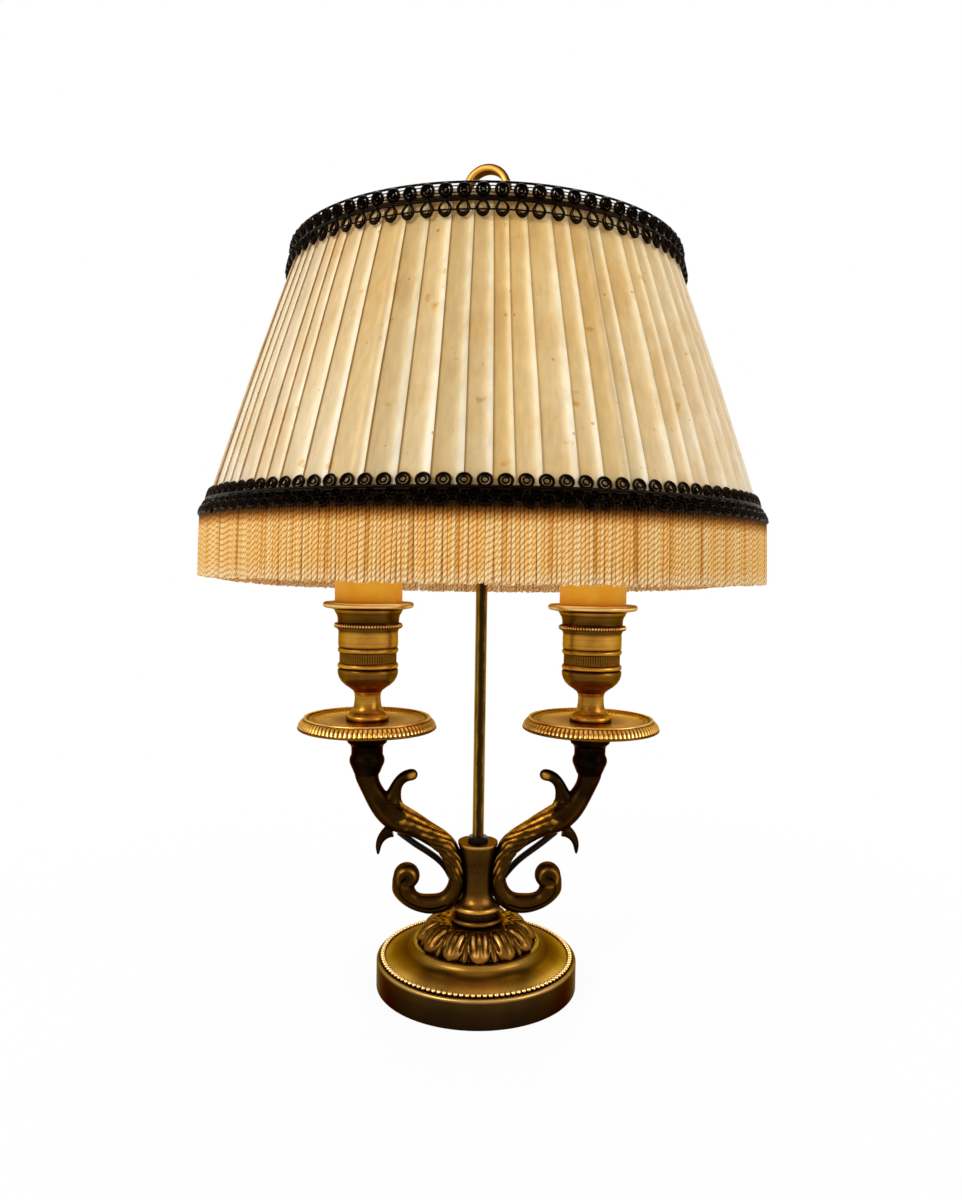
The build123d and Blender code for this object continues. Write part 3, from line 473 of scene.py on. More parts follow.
# %% Bulb finish
glow = 1.9
bulb_glow, add, shader, place = new_finish(
    "frosted glass, lit", Roughness=0.5, Emission_Strength=glow
)
_, frosting = patches(place, 180.0, 3.0, [(0.35, "#ffc880"), (0.65, "#ffdca4")])
set_inputs(shader, {"Base Color": frosting, "Emission Color": frosting})
print("bulbs glow at", glow)

# %% [markdown]
# The small fittings stay as the CAD model made them, and only get their finish.

# %% Dress the CAD nodes
dress(column_finish, "column")
dress(rod_finish, "center_rod", "stop_collar", "left_contact", "right_contact")
dress(satin_brass, "thumb_screw")
dress(black_plastic, "rod_collar", "lead_gland", "wire_grommets")
dress(black_plastic, "left_lampholder", "right_lampholder")
dress(zinc_steel, "tie_washer", "tie_nut", "arm_studs", "left_nipple", "right_nipple")
dress(zinc_steel, "left_cup_nut", "right_cup_nut")
dress(painted_wire, "spider", "shade_frame")
dress(porcelain, "terminal_block")
dress(felt, "base_pad")
dress(nickel, "left_bulb_cap", "right_bulb_cap")
dress(bulb_glow, "left_bulb_glass", "right_bulb_glass")
dress(card, "left_candle_sleeve", "right_candle_sleeve")
print("dressed CAD nodes")

# %% [markdown]
# ## Wires
# Two short black wires run from the underside of the arms, behind the column, down through the
# leaf dome to the terminal block in the foot. They are stiff and pulled snug, so each is one
# smooth spline through the route that the stand holds it to.

# %% The two wires
wire_routes = {
    "right": [
        (34.6, 0.8, 66.6), (29.0, 2.6, 61.2), (23.4, 4.8, 56.3), (18.2, 6.9, 51.4),
        (13.6, 9.1, 45.2), (9.6, 11.5, 38.2), (6.0, 13.8, 31.8), (5.0, 14.5, 25.8),
        (4.8, 14.6, 20.6), (4.8, 14.6, 14.9),
    ],
    "left": [
        (-34.8, 0.8, 66.6), (-28.8, 2.6, 61.4), (-23.2, 4.8, 57.2), (-18.0, 6.9, 53.0),
        (-13.6, 9.1, 47.8), (-10.2, 11.4, 40.6), (-6.4, 13.6, 32.6), (-5.0, 14.5, 26.0),
        (-4.8, 14.6, 20.6), (-4.8, 14.6, 14.9),
    ],
}
wire_thickness = 3 * mm
for side_name, route in wire_routes.items():
    line = bpy.data.curves.new(f"{side_name}_arm_wire", "CURVE")
    line.dimensions = "3D"
    line.bevel_depth = wire_thickness / 2
    line.bevel_resolution = 3
    line.resolution_u = 10
    line.use_fill_caps = True
    spline = line.splines.new("NURBS")
    spline.points.add(len(route) - 1)
    for point, spot in zip(spline.points, route):
        point.co = [v * mm for v in spot] + [1.0]
    spline.order_u = 3
    spline.use_endpoint_u = True
    wire = seated(f"{side_name}_arm_wire", line, jacket, "stand")
    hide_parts(f"{side_name}_wire")

# %% [markdown]
# ## Bead ring of the foot
# The ring of beads was cast with the foot and then chased. A hundred and ten beads of 2.2 mm stand
# side by side in a groove between the lip and the dish. Each is one small sphere; a low one is
# enough, because a bead is only a few pixels wide.

# %% Foot beads
bead_count, bead_circle, bead_level, bead_radius = 110, 41.3, 12.75, 1.12
# Each bead is painted bright on its top and dark underneath, as lit from above.
bead = rubbed_and_lit(ball_at((0, 0, 0), [bead_radius] * 3, 8, 6), 0.85, -0.6, lambda co: co.z > 0.3)
bead_place = Matrix.Translation((bead_circle, 0, bead_level))
beads = repeated(bead, [turn @ bead_place for turn in turns_round(bead_count)])
foot_beads = finished("foot_beads", beads, satin_brass, "stand")
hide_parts("bead_ring")

# %% [markdown]
# ## Carving a casting
# The leaf dome and the arms are castings with chased relief: lobes, veins and scroll grooves,
# mostly less than half a millimetre deep. The CAD node already has the right body, so a copy of it
# is merged, remeshed to even quads of a third of a millimetre and then carved: every vertex moves
# along its own normal by a depth that a small function works out from its place. Before that, extra
# shapes are added and the skin is smoothed, which softens the seams between the CAD's plain solids
# as a wax pattern would be. Each carving function also gives the wear, so ridges rub bright and
# grooves stay dark, and it paints light into that wear: the front petals of the dome, the upper
# side of the arms' leaf and the curled end of each leaf are painted brighter.


# %% Carving helper
def carved(name, source, voxel, depth_of, finish, added, soften):
    """Remesh a copy of a CAD node with a shape in mm added, soften it and carve it."""
    body = bmesh.new()
    body.from_mesh(nodes[source].data)
    bmesh.ops.remove_doubles(body, verts=body.verts, dist=1e-6)
    bmesh.ops.scale(added, vec=(mm, mm, mm), verts=added.verts)
    body = joined(body, added)
    mesh = bpy.data.meshes.new(name)
    body.to_mesh(mesh)
    body.free()
    rough = in_scene(name, mesh)
    remesh = rough.modifiers.new("even quads", "REMESH")
    remesh.mode = "VOXEL"
    remesh.voxel_size = voxel * mm
    smooth = rough.modifiers.new("soft seams", "SMOOTH")
    smooth.factor, smooth.iterations = 0.5, soften
    even = bpy.data.meshes.new_from_object(
        rough.evaluated_get(bpy.context.evaluated_depsgraph_get())
    )
    bpy.data.objects.remove(rough)
    count = len(even.vertices)
    spots, normals = np.empty(count * 3), np.empty(count * 3)
    even.vertices.foreach_get("co", spots)
    even.vertices.foreach_get("normal", normals)
    spots, normals = spots.reshape(-1, 3), normals.reshape(-1, 3)
    depth, worn_and_lit = depth_of(spots / mm, normals)
    spots = spots + normals * depth[:, None] * mm
    even.vertices.foreach_set("co", spots.ravel())
    even.attributes.new("wear_and_light", "FLOAT", "POINT").data.foreach_set("value", worn_and_lit)
    even.materials.clear()
    for face in even.polygons:
        face.use_smooth = True
    piece = seated(name, even, finish, "stand")
    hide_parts(source)
    print(name, "has", count, "vertices, carved", depth.min().round(2), "to", depth.max().round(2))


def ridge(value, middle, half_width):
    """1 on a line and 0 beyond half_width of it, with a round top."""
    return np.clip(1 - ((value - middle) / half_width) ** 2, 0, 1)


# %% [markdown]
# ### Leaf dome
# Twelve petals stand round the dome, with their points up against the column. A petal is a long egg
# that lies down the slope, so it has its own two directions: down its length, and across it as a
# share of its half width there. A raised border closes to an arch near the column. Inside it run a
# groove, two bright flutes that lean together, and a thin rib. Everything fades into the plain
# round foot of the petal. A plain core closes the gaps between the petals to narrow creases. The
# petals at the front of the dome are painted brighter, most on their flutes and ribs, as the ones
# that face the light. Small dark spears stand in the gaps at the foot.

# %% Leaf dome
petal_count, petal_half_length, petal_half_width, petal_slope = 12, 8.6, 4.7, radians(31)
petal_centre_radius, petal_centre_height = 18.7, 22.7


def dome_depth(spots, normals):
    radius = np.hypot(spots[:, 0], spots[:, 1])
    step = 2 * pi / petal_count
    front = np.arctan2(spots[:, 1], spots[:, 0]) + pi / 2
    out, up = radius - petal_centre_radius, spots[:, 2] - petal_centre_height
    down = (out * cos(petal_slope) - up * sin(petal_slope)) / petal_half_length
    taper = 0.9 * np.minimum(down, 0) ** 2 + 0.35 * np.clip(down - 0.45, 0, 1) ** 2
    half = np.minimum(step / 2 * radius, petal_half_width * np.sqrt(np.clip(1 - taper, 0.05, 1)))
    across = (front - np.round(front / step) * step) * radius / half
    arch = np.hypot(across, np.clip(-0.1 - down, 0, 1) / 0.75)
    open_part = 1 - np.clip((down - 0.35) / 0.3, 0, 1)
    border = ridge(arch, 0.94, 0.15) * open_part
    groove = ridge(arch, 0.8, 0.1) * open_part
    flute = ridge(np.abs(across), 0.56, 0.22) * ridge(down, -0.1, 0.52)
    hollow = ridge(np.abs(across), 0.27, 0.12) * ridge(down, 0.05, 0.75)
    rib = ridge(across, 0.0, 0.2) * ridge(down, -0.2, 0.45)
    gap = np.clip((np.abs(across) - 1.0) / 0.08, 0, 1)
    carve = 0.22 * border - 0.35 * groove + 0.32 * flute - 0.35 * hollow + 0.2 * rib
    # The petals at the front are painted brighter, as the ones that face the light.
    rubbed_and_lit = 0.2 + 0.8 * np.clip(np.cos(front), 0, 1) ** 3
    worn_and_lit = 0.06 + 0.16 * border - 0.6 * groove + 1.0 * flute * rubbed_and_lit - 0.55 * hollow
    worn_and_lit = worn_and_lit + 0.8 * rib * rubbed_and_lit - 0.35 * gap + 0.12 * (1 - open_part) * rubbed_and_lit
    outside = (radius > 12.0) & (normals[:, 2] > -0.2) & (spots[:, 2] > 18.3)
    return np.where(outside, carve, 0.0), np.where(outside, np.clip(worn_and_lit, -1, 0.95), -0.4)


dome_core = turned([
    (0.5, 26.8, 0), (15.5, 26.7, 0), (18.6, 26.1, 0), (21.0, 24.6, 0), (22.7, 22.4, 0),
    (23.7, 20.0, 0), (24.0, 18.3, 0), (0.5, 18.3, 0),
], 96)
petal_foot = ball_at((0, 0, 0), (4.9, 4.8, 3.7))
foot_place = Matrix.Translation((21.7, 0, 20.9)) @ Matrix.Rotation(petal_slope, 4, "Y")
petal_turns = turns_round(petal_count, -pi / 2)
petal_feet = repeated(petal_foot, [turn @ foot_place for turn in petal_turns])
carved(
    "carved_leaf_dome", "leaf_dome", 0.3, dome_depth, dome_brass, joined(dome_core, petal_feet), 2
)

spear = rubbed_and_lit(ball_at((0, 0, 0), (1, 1, 1), 10, 8), 0.05, -0.3, lambda co: abs(co.y) < 0.3)
for spot in spear.verts:
    taper = 0.72 + 0.42 * spot.co.x
    spot.co = (4.7 * spot.co.x, 1.8 * spot.co.y * taper, 1.3 * spot.co.z * taper)
spear_place = Matrix.Translation((22.6, 0, 22.1)) @ Matrix.Rotation(radians(54), 4, "Y")
spears = repeated(
    spear, [turn @ spear_place for turn in turns_round(petal_count, pi / petal_count - pi / 2)]
)
finished("leaf_spears", spears, dome_brass, "stand")

# %% [markdown]
# ### Scrolled arms
# Each arm is an acanthus stem. It leaves the column, throws a leaf up and a leaf down, and rises
# to the nozzle under the drip pan, while its foot rolls into a volute. To carve it, each vertex
# is measured against the middle line of the stem: how far along it lies, and how far round. The
# leaf that wraps the stem has ribs about 3 mm apart with sharp creases between them. They wind
# upwards on their way to the column, twist into short strokes at the bend, and end at the elbow in
# pointed tips that stand up from the smooth stalk. The scroll below is plain, with one crease that
# runs round the scroll into the hollow eye of the volute. A few balls are added so that its back
# runs up into the volute without a notch.

# %% Arms
stem_line = np.array([
    (49.1, 93.0, 5.6), (48.0, 88.2, 4.6), (45.0, 82.5, 4.8), (41.6, 78.0, 5.5), (36.2, 73.5, 6.1),
    (27.3, 69.3, 5.0), (19.9, 65.0, 4.6), (13.9, 60.3, 4.4), (10.4, 53.5, 4.1), (9.2, 46.0, 3.5),
    (10.4, 40.3, 3.9), (14.3, 36.0, 4.2), (20.3, 34.7, 4.3), (26.1, 35.6, 3.9), (31.0, 39.0, 4.4),
    (32.9, 43.2, 4.8),
])
volute_crease = np.array([
    (32.2, 46.9), (33.7, 45.5), (34.3, 43.0), (33.7, 40.3), (32.2, 37.9), (29.6, 35.8),
    (26.5, 34.4), (23.4, 33.6), (20.2, 33.4), (17.2, 33.9), (14.5, 34.9),
])
volute_eye = (31.3, 47.4)
leaf_end = (29.4, 92.3)


def along_stem(points):
    """For each point (x, z): its run along the stem, and its signed share across it."""
    runs = np.hypot(*np.diff(stem_line[:, :2], axis=0).T)
    reach = np.concatenate([[0], np.cumsum(runs)])
    fine = np.linspace(0, reach[-1], 260)
    line = np.stack([np.interp(fine, reach, stem_line[:, k]) for k in range(3)], axis=1)
    gaps = points[:, None, :] - line[None, :, :2]
    near = np.argmin((gaps**2).sum(2), axis=1)
    ahead_of = np.gradient(line[:, :2], axis=0)
    ahead_of /= np.hypot(*ahead_of.T)[:, None]
    gap, way = gaps[np.arange(len(points)), near], ahead_of[near]
    across = way[:, 0] * gap[:, 1] - way[:, 1] * gap[:, 0]
    return fine[near], across / line[near, 2]


def arm_depth(spots, normals):
    flat = np.stack([np.abs(spots[:, 0]), spots[:, 2]], axis=1)
    run, across = along_stem(flat)
    turn = np.arctan2(-across, np.abs(spots[:, 1]) / 4.8)
    winding = 0.034 * (run - 22) + 0.06 * np.clip(run - 42, 0, 30)
    fan = 1 - 0.3 * np.clip((33 - run) / 12, 0, 1)
    wander = 0.5 * np.sin(run * 0.22 + 1.6 * turn) + 0.15 * np.sin(run * 0.7 + 1.7)
    rib_turn = 12.0 * (turn * fan - winding) + 0.9 + wander
    swell = 0.8 + 0.3 * np.sin(run * 0.19 + 2.3 * turn + 0.6)
    ribs = swell * (2 * np.abs(np.cos(rib_turn / 2)) ** 1.1 - 1)
    tips = 19.0 + 3.4 * np.clip(1.2 - turn, 0, 2.2) + 4.5 * np.abs(np.sin(rib_turn / 4 + 0.4))
    hem = -0.5 - 0.9 * np.clip((run - 38) / 10, 0, 1) + 0.14 * np.sin(run * 0.8)
    leaf = np.clip((run - tips) / 1.8, 0, 1) * np.clip((70.0 - run) / 10.0, 0, 1)
    leaf = leaf * np.clip((turn - hem) / 0.4, 0, 1)
    plain_edge = np.clip((turn - 0.85) / 0.12, 0, 1) * np.clip((run - 48) / 4, 0, 1)
    relief = leaf * (1 - plain_edge)
    streaks = 0.5 * np.cos(3.0 * rib_turn)
    tip_edge = ridge(run, tips + 1.1, 1.3) * leaf
    crease = np.full(len(run), 9.0)
    for one, other in zip(volute_crease[:-1], volute_crease[1:]):
        along = np.clip((flat - one) @ (other - one) / ((other - one) ** 2).sum(), 0, 1)
        crease = np.minimum(crease, np.hypot(*(flat - one - along[:, None] * (other - one)).T))
    facing = np.clip((np.abs(normals[:, 1]) - 0.25) / 0.3, 0, 1)
    crease = ridge(crease, 0.0, 0.8) * facing
    from_eye = np.hypot(flat[:, 0] - volute_eye[0], flat[:, 1] - volute_eye[1])
    eye = np.clip(1 - (from_eye / 3.4) ** 2, 0, 1) * facing
    eye_rim = ridge(from_eye, 4.0, 0.9) * facing
    stalk = np.clip((tips - run) / 1.0, 0, 1)
    keel = ridge(turn, -0.3, 0.16) * np.clip((run - 9) / 3, 0, 1) * stalk
    scroll = np.clip((run - 64) / 6, 0, 1)
    # The flat faces of each leaf's curled end get a painted highlight.
    curl = np.clip(1.3 - np.hypot(flat[:, 0] - leaf_end[0], flat[:, 1] - leaf_end[1]) / 2.6, 0, 1)
    nozzle = (flat[:, 1] > 92.5) & (flat[:, 0] > 38)
    carve = relief * (0.12 + 0.34 * ribs + 0.06 * streaks) + 0.15 * tip_edge + 0.15 * keel
    carve = carve - 0.45 * crease - 1.2 * eye
    patchy = 0.18 * np.sin(run * 0.53 + 4.1 * turn) + 0.14 * np.sin(run * 1.7 - 3.0 * turn)
    top_light = np.clip(0.36 + 0.5 * turn + patchy, 0.1, 1.1)
    worn_and_lit = -0.56 + relief * (0.32 + (0.46 + 0.66 * ribs + 0.15 * streaks) * top_light)
    worn_and_lit = worn_and_lit + 0.15 * tip_edge * top_light + 0.3 * plain_edge + 0.3 * keel
    worn_and_lit = worn_and_lit + 0.42 * scroll * (1 - leaf) - 0.45 * crease - 0.5 * eye + 0.3 * eye_rim
    worn_and_lit = worn_and_lit + 1.1 * curl * facing
    return np.where(nozzle, 0.0, carve), np.where(nozzle, -0.75, np.clip(worn_and_lit, -1, 0.95))


for side_name, side in lamp_sides:
    curl_fill = joined(*[
        ball_at((side * out, 0, up), (size, 5.0, size))
        for out, up, size in ((32.7, 43.2, 5.0), (32.4, 45.0, 5.2), (31.9, 46.4, 5.4))
    ])
    carved(
        f"{side_name}_carved_arm", f"{side_name}_arm", 0.36, arm_depth, dark_cast, curl_fill, 5
    )

# %% [markdown]
# ## Drip pans
# A drip pan is a turned disc with a tongued edge: about ninety small tongues stand side by side
# on its rounded rim. The disc is spun with eight steps to a tongue, and then each vertex of the
# rim's band moves in or out by the round shape of its tongue. That keeps the pan one closed skin.


# %% Drip pans
def scalloped(shape, centre, low, high, count, depth, worn_and_lit, sharpness):
    """Press a ring of upright tongues into a turned shape between two heights."""
    wear_and_light = shape.verts.layers.float["wear_and_light"]
    for spot in shape.verts:
        if low < spot.co.z < high and (spot.co.xy - Vector((centre, 0))).length > 11:
            arm = Vector((spot.co.x - centre, spot.co.y, 0))
            phase = np.arctan2(arm.y, arm.x) * count / 2
            tongue = abs(cos(phase)) ** sharpness
            fade = sin(pi * (spot.co.z - low) / (high - low)) ** 0.4
            spot.co -= arm.normalized() * depth * fade * (1 - tongue)
            spot[wear_and_light] = worn_and_lit[0] + (worn_and_lit[1] - worn_and_lit[0]) * tongue


candle_reach, nozzle_top, tongue_count = 49.15, 111.2, 90
pan_profile = [
    (4.1, 0.0, -0.6), (11.2, 0.0, -0.5), (11.4, 2.4, -0.9), (25.9, 2.4, -0.9), (26.8, 1.45, -0.6),
    (28.6, 1.4, -0.5), (29.6, 1.6, -0.4), (30.1, 1.95, -0.3), (30.2, 2.3, -0.25),
    (30.1, 2.6, -0.8), (29.95, 2.9, 0.1), (29.9, 3.2, 0.3), (29.75, 3.7, 0.5), (29.5, 4.2, 0.6),
    (29.1, 4.75, 0.7), (28.55, 5.3, 0.6), (27.95, 5.8, 0.4), (27.6, 6.05, -0.7), (27.6, 6.4, 0.4),
    (27.35, 6.8, 0.7), (26.8, 6.9, 0.7), (26.3, 6.6, 0.3), (26.0, 6.1, -0.5), (25.3, 5.95, -0.2),
    (25.0, 6.2, 0.2), (24.5, 6.4, 0.3), (24.0, 6.25, 0.0), (23.5, 5.75, -0.5), (22.6, 5.45, -0.15),
    (17.0, 5.4, -0.1), (9.6, 5.4, -0.3), (9.0, 5.4, -0.7), (4.1, 5.4, -0.8),
]
for side_name, side in lamp_sides:
    centre = side * candle_reach
    pan = turned([(r, h + nozzle_top, w) for r, h, w in pan_profile], 8 * tongue_count, centre)
    scalloped(
        pan, centre, nozzle_top + 2.65, nozzle_top + 5.95, tongue_count, 0.5, (-0.6, 0.7), 0.7
    )
    tongued_pan = finished(
        f"{side_name}_tongued_pan", pan, satin_brass, "stand", 50
    )
    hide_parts(f"{side_name}_pan")

# %% [markdown]
# ## Candle cups
# Each cup is turned from one piece: foot, waist, bowl, a fluted band between two rings, a plain
# body, a ring of tiny beads, and a throat that flares to the lip. The flutes are pressed in as
# the tongues were. The beads are separate small spheres half sunk in their ring.

# %% Candle cups
cup_base, flute_count, dot_count = 116.6, 72, 72
cup_profile = [
    (11.3, 51.4, -0.2), (11.3, 21.4, -0.9), (4.1, 21.4, -0.9), (4.1, 0.0, -0.9), (9.0, 0.0, -0.6),
    (9.25, 0.4, 0.0), (9.2, 1.9, 0.1), (8.9, 2.2, 0.4), (7.6, 3.2, -0.2), (6.6, 4.4, 0.1),
    (6.0, 6.0, -0.1), (5.7, 8.2, 0.0), (5.6, 10.0, 0.05), (5.8, 11.6, 0.1), (6.2, 12.4, 0.3),
    (6.3, 12.7, -0.5), (6.9, 13.2, 0.3), (8.2, 14.2, 0.2), (10.0, 15.4, 0.1), (11.6, 17.0, -0.15),
    (12.6, 18.8, -0.35), (13.05, 20.4, -0.4), (13.15, 21.8, -0.2), (12.9, 22.3, -0.6),
    (12.3, 22.4, -0.95), (12.3, 22.8, -0.95), (12.9, 23.0, 0.0), (13.2, 23.6, 0.3),
    (13.15, 24.3, 0.25), (12.7, 24.9, -0.2), (12.35, 25.1, -0.6), (12.35, 25.6, -0.2),
    (12.35, 26.6, -0.2), (12.35, 27.8, -0.2), (12.35, 28.9, -0.2), (12.4, 29.5, -0.6),
    (12.8, 29.7, -0.1), (13.15, 30.3, 0.2), (13.1, 31.1, 0.2), (12.7, 31.6, -0.3),
    (12.55, 31.9, -0.8), (12.9, 32.2, 0.0), (12.95, 33.0, 0.15), (12.95, 37.2, 0.15),
    (12.85, 38.4, -0.1), (13.1, 39.2, -0.6), (13.6, 40.0, -0.6), (13.9, 40.9, -0.5),
    (13.9, 41.6, -0.5), (13.6, 42.3, -0.7), (13.3, 42.7, -0.8), (13.3, 43.4, -0.7),
    (13.35, 44.4, -0.6), (13.7, 45.8, -0.5), (14.3, 46.7, -0.6), (14.5, 47.2, -0.2),
    (14.9, 47.9, 0.0), (15.0, 48.2, -0.9), (16.8, 48.6, -0.7), (18.6, 48.9, -0.1),
    (19.4, 49.3, 0.4), (19.65, 50.0, 0.8), (19.5, 50.8, 0.9), (18.8, 51.35, 0.8),
    (15.6, 51.4, 0.6), (14.7, 51.4, -0.2),
]
for side_name, side in lamp_sides:
    centre = side * candle_reach
    cup = turned([(r, h + cup_base, w) for r, h, w in cup_profile], 6 * flute_count, centre)
    scalloped(
        cup, centre, cup_base + 25.2, cup_base + 29.4, flute_count, 0.35, (-0.85, -0.2), 0.9
    )
    fluted_cup = finished(
        f"{side_name}_fluted_cup", cup, satin_brass, "stand", 50
    )
    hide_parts(f"{side_name}_cup")
    # Each bead is painted bright on its top and dark underneath, as lit from above.
    dot = rubbed_and_lit(ball_at((0, 0, 0), (0.9, 0.63, 1.08), 8, 6), 0.6, -0.4, lambda co: co.z > -0.2)
    ring_place, dot_place = (
        Matrix.Translation(spot) for spot in ((centre, 0, cup_base + 41.2), (14.0, 0, 0))
    )
    dots = repeated(dot, [ring_place @ turn @ dot_place for turn in turns_round(dot_count)])
    finished(f"{side_name}_cup_beads", dots, satin_brass, "stand")

# %% [markdown]
# ## Ring finial
# The finial screws the top of the rod and ends in a flat ring for a finger. Its neck is turned.
# The ring is a band with a rounded section, made by spinning a small rounded rectangle, and it
# stands a little off the front. Its face is brighter and its rim is dark.

# %% Ring finial
ring_level, finial_turn = 345.8, radians(18)
neck = turned([
    (2.55, 329.0, -0.6), (5.2, 329.0, -0.4), (5.6, 329.4, 0.2), (5.6, 331.0, 0.3),
    (5.2, 331.4, 0.4), (3.9, 332.0, -0.2), (3.1, 333.2, -0.1), (3.0, 334.0, 0.0),
    (3.3, 335.6, 0.1), (3.8, 336.9, 0.2), (3.4, 337.2, 0.3), (0.0, 337.2, 0.0), (0.0, 333.1, -0.6),
    (2.55, 333.1, -0.6),
], 48)
band = turned([
    (7.3, 0.0, -0.2), (7.3, 2.1, 0.0), (7.45, 2.55, 0.5), (7.8, 2.75, 0.5), (9.5, 2.75, 0.2),
    (10.1, 2.55, -0.5), (10.4, 2.0, -0.8), (10.4, 0.0, -0.8), (10.4, -2.0, -0.8),
    (10.1, -2.55, -0.5), (9.5, -2.75, 0.2), (7.8, -2.75, 0.5), (7.45, -2.55, 0.5),
    (7.3, -2.1, 0.0),
], 72)
stand_up = Matrix.Rotation(-finial_turn, 4, "Z") @ Matrix.Rotation(pi / 2, 4, "X")
ring_place = Matrix.Translation((0, 0, ring_level)) @ stand_up
bmesh.ops.transform(band, verts=band.verts, matrix=ring_place)
finial = finished("finial_ring", joined(neck, band), dome_brass, "finial", 30)
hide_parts("ring_finial")

# %% [markdown]
# ## Pleated cover
# The cover is ivory silk, knife-pleated by hand from the bottom ring to the top ring. Every pleat
# is a flat face that rises a little to a sharp fold, tucks back under itself, and starts again.
# One closed line with those folds is drawn at the bottom, and extruded upwards while it shrinks to
# the top ring, so all the pleats taper with the cone. Hand pleating is uneven: the widths are
# drawn from a seeded generator, and the folds wander by a few tenths of a millimetre.

# %% Pleats
def raised(shape, edges, size, lift):
    """Extrude a loop of edges, shrink the new one towards the axis and lift it."""
    made = bmesh.ops.extrude_edge_only(shape, edges=edges)["geom"]
    fresh = [g for g in made if isinstance(g, bmesh.types.BMVert)]
    bmesh.ops.scale(shape, verts=fresh, vec=(size, size, 1))
    bmesh.ops.translate(shape, verts=fresh, vec=(0, 0, lift))
    return [g for g in made if isinstance(g, bmesh.types.BMEdge)]


def stray(x, y, z):
    """A number from -1 to 1 that changes smoothly from place to place."""
    return noise.noise(Vector((x, y, z)))


shade_foot, shade_head = 204.5, 314.0
foot_radius, head_radius = 116.2, 79.3
pleat_count, rows = 68, 16
chance = np.random.default_rng(7)
widths = chance.uniform(0.68, 1.32, pleat_count)
widths = widths / widths.sum() * 2 * pi
pleat_line = [
    (0.00, 1.00, -0.7), (0.035, 0.97, -0.3), (0.09, 0.90, -0.1), (0.32, 0.66, 0.0),
    (0.56, 0.42, 0.1), (0.72, 0.26, 0.4), (0.82, 0.15, 0.8), (0.91, 0.06, 1.0),
    (0.975, 0.01, 0.95), (1.00, 0.10, 0.5), (0.99, 0.34, -0.1), (0.95, 0.62, -0.8),
    (0.92, 0.86, -1.0), (0.95, 0.98, -1.0),
]
pleats = bmesh.new()
thin_layer = pleats.verts.layers.float.new("thin")
tone_layer = pleats.verts.layers.float.new("tone")
points, start = [], radians(95)
for width in widths:
    tone = chance.uniform(0, 1)
    for share, depth, thin in pleat_line:
        angle, radius = start + share * width, foot_radius - depth
        point = pleats.verts.new((radius * cos(angle), radius * sin(angle), shade_foot))
        point[thin_layer], point[tone_layer] = thin, tone
        points.append(point)
    start += width
edge_loop = [pleats.edges.new(pair) for pair in zip(points, points[1:] + points[:1])]
shrink = (head_radius / foot_radius) ** (1 / rows)
cone_rise = (shade_head - shade_foot) / (foot_radius - head_radius)
for row in range(rows):
    narrowing = foot_radius * (shrink**row - shrink ** (row + 1))
    edge_loop = raised(pleats, edge_loop, shrink, narrowing * cone_rise)
for spot in pleats.verts:
    height = (spot.co.z - shade_foot) / (shade_head - shade_foot)
    slack = sin(pi * height)
    around = spot.co.xy.normalized()
    swing = 0.0045 * stray(around.x * 14, around.y * 14, height * 1.6) * slack
    spot.co = Matrix.Rotation(swing, 3, "Z") @ spot.co
    bulge = 0.7 * slack - 0.35 * stray(around.x * 5, around.y * 5, height * 2 + 9) * slack
    spot.co.xy = spot.co.xy + around * bulge
bmesh.ops.recalc_face_normals(pleats, faces=pleats.faces)
cloth_area = sum(face.calc_area() for face in pleats.faces) * mm * mm

# %% [markdown]
# The silk is thin enough to glow where it lies single, next to each fold, and looks deeper where
# the tuck behind makes it three layers thick. That glow is painted into the colour: the attribute
# "thin" tells the layers apart, down to a painted shadow in the dark slit under each fold, and
# "tone" makes one pleat greyer or yellower than the next. The cloth is painted paler at the two
# sides, as the glow of the bulbs behind them, and it is a little darker towards the top. Over that
# lie water stains of 20 to 40 mm, rusty spots of 1 to 5 mm, a soft brown line along each rib of the
# frame, where the wire has marked the cloth, with its painted shadow over it, faint upright streaks
# where the folds were pressed, and the fine crossways ribs of the weave, drawn at half a millimetre
# so that they show. A Translucent shader lets the lit bulbs shine through.

# %% Silk finish
frame_ribs, first_rib = 8, radians(20.5)
silk, add, shader, place = new_finish(
    "pleated silk", Roughness=0.7, Sheen_Weight=0.25, Sheen_Roughness=0.4
)
parts = add("SeparateXYZ", [place]).outputs
thin = add("Attribute", attribute_name="thin").outputs["Fac"]
depth = add("MapRange", [thin, -1.0, 1.0])
# The layers are painted as the light that shines through them: bright where the silk is single,
# deeper where it is three layers thick, with a painted shadow in the slit.
layers = add(
    "ValToRGB", [depth],
    [
        (0.0, "#ad8f5c"), (0.15, "#c9ab74"), (0.35, "#d3bb88"), (0.5, "#d9c396"),
        (0.66, "#ecdab3"), (0.85, "#fcf2d8"), (1.0, "#fffdf4"),
    ],
)
tones = add(
    "ValToRGB", [add("Attribute", attribute_name="tone").outputs["Fac"]],
    [(0.0, "#e9e4d6"), (0.35, "#ffffff"), (0.7, "#fff8e4"), (1.0, "#f6e8c4")],
)
upward = add("MapRange", [parts["Z"], shade_foot * mm, shade_head * mm])
fade = add(
    "ValToRGB", [upward], [(0.0, "#fffdf6"), (0.35, "#fffaec"), (0.75, "#fdf3d8"), (1.0, "#f6e7c2")]
)
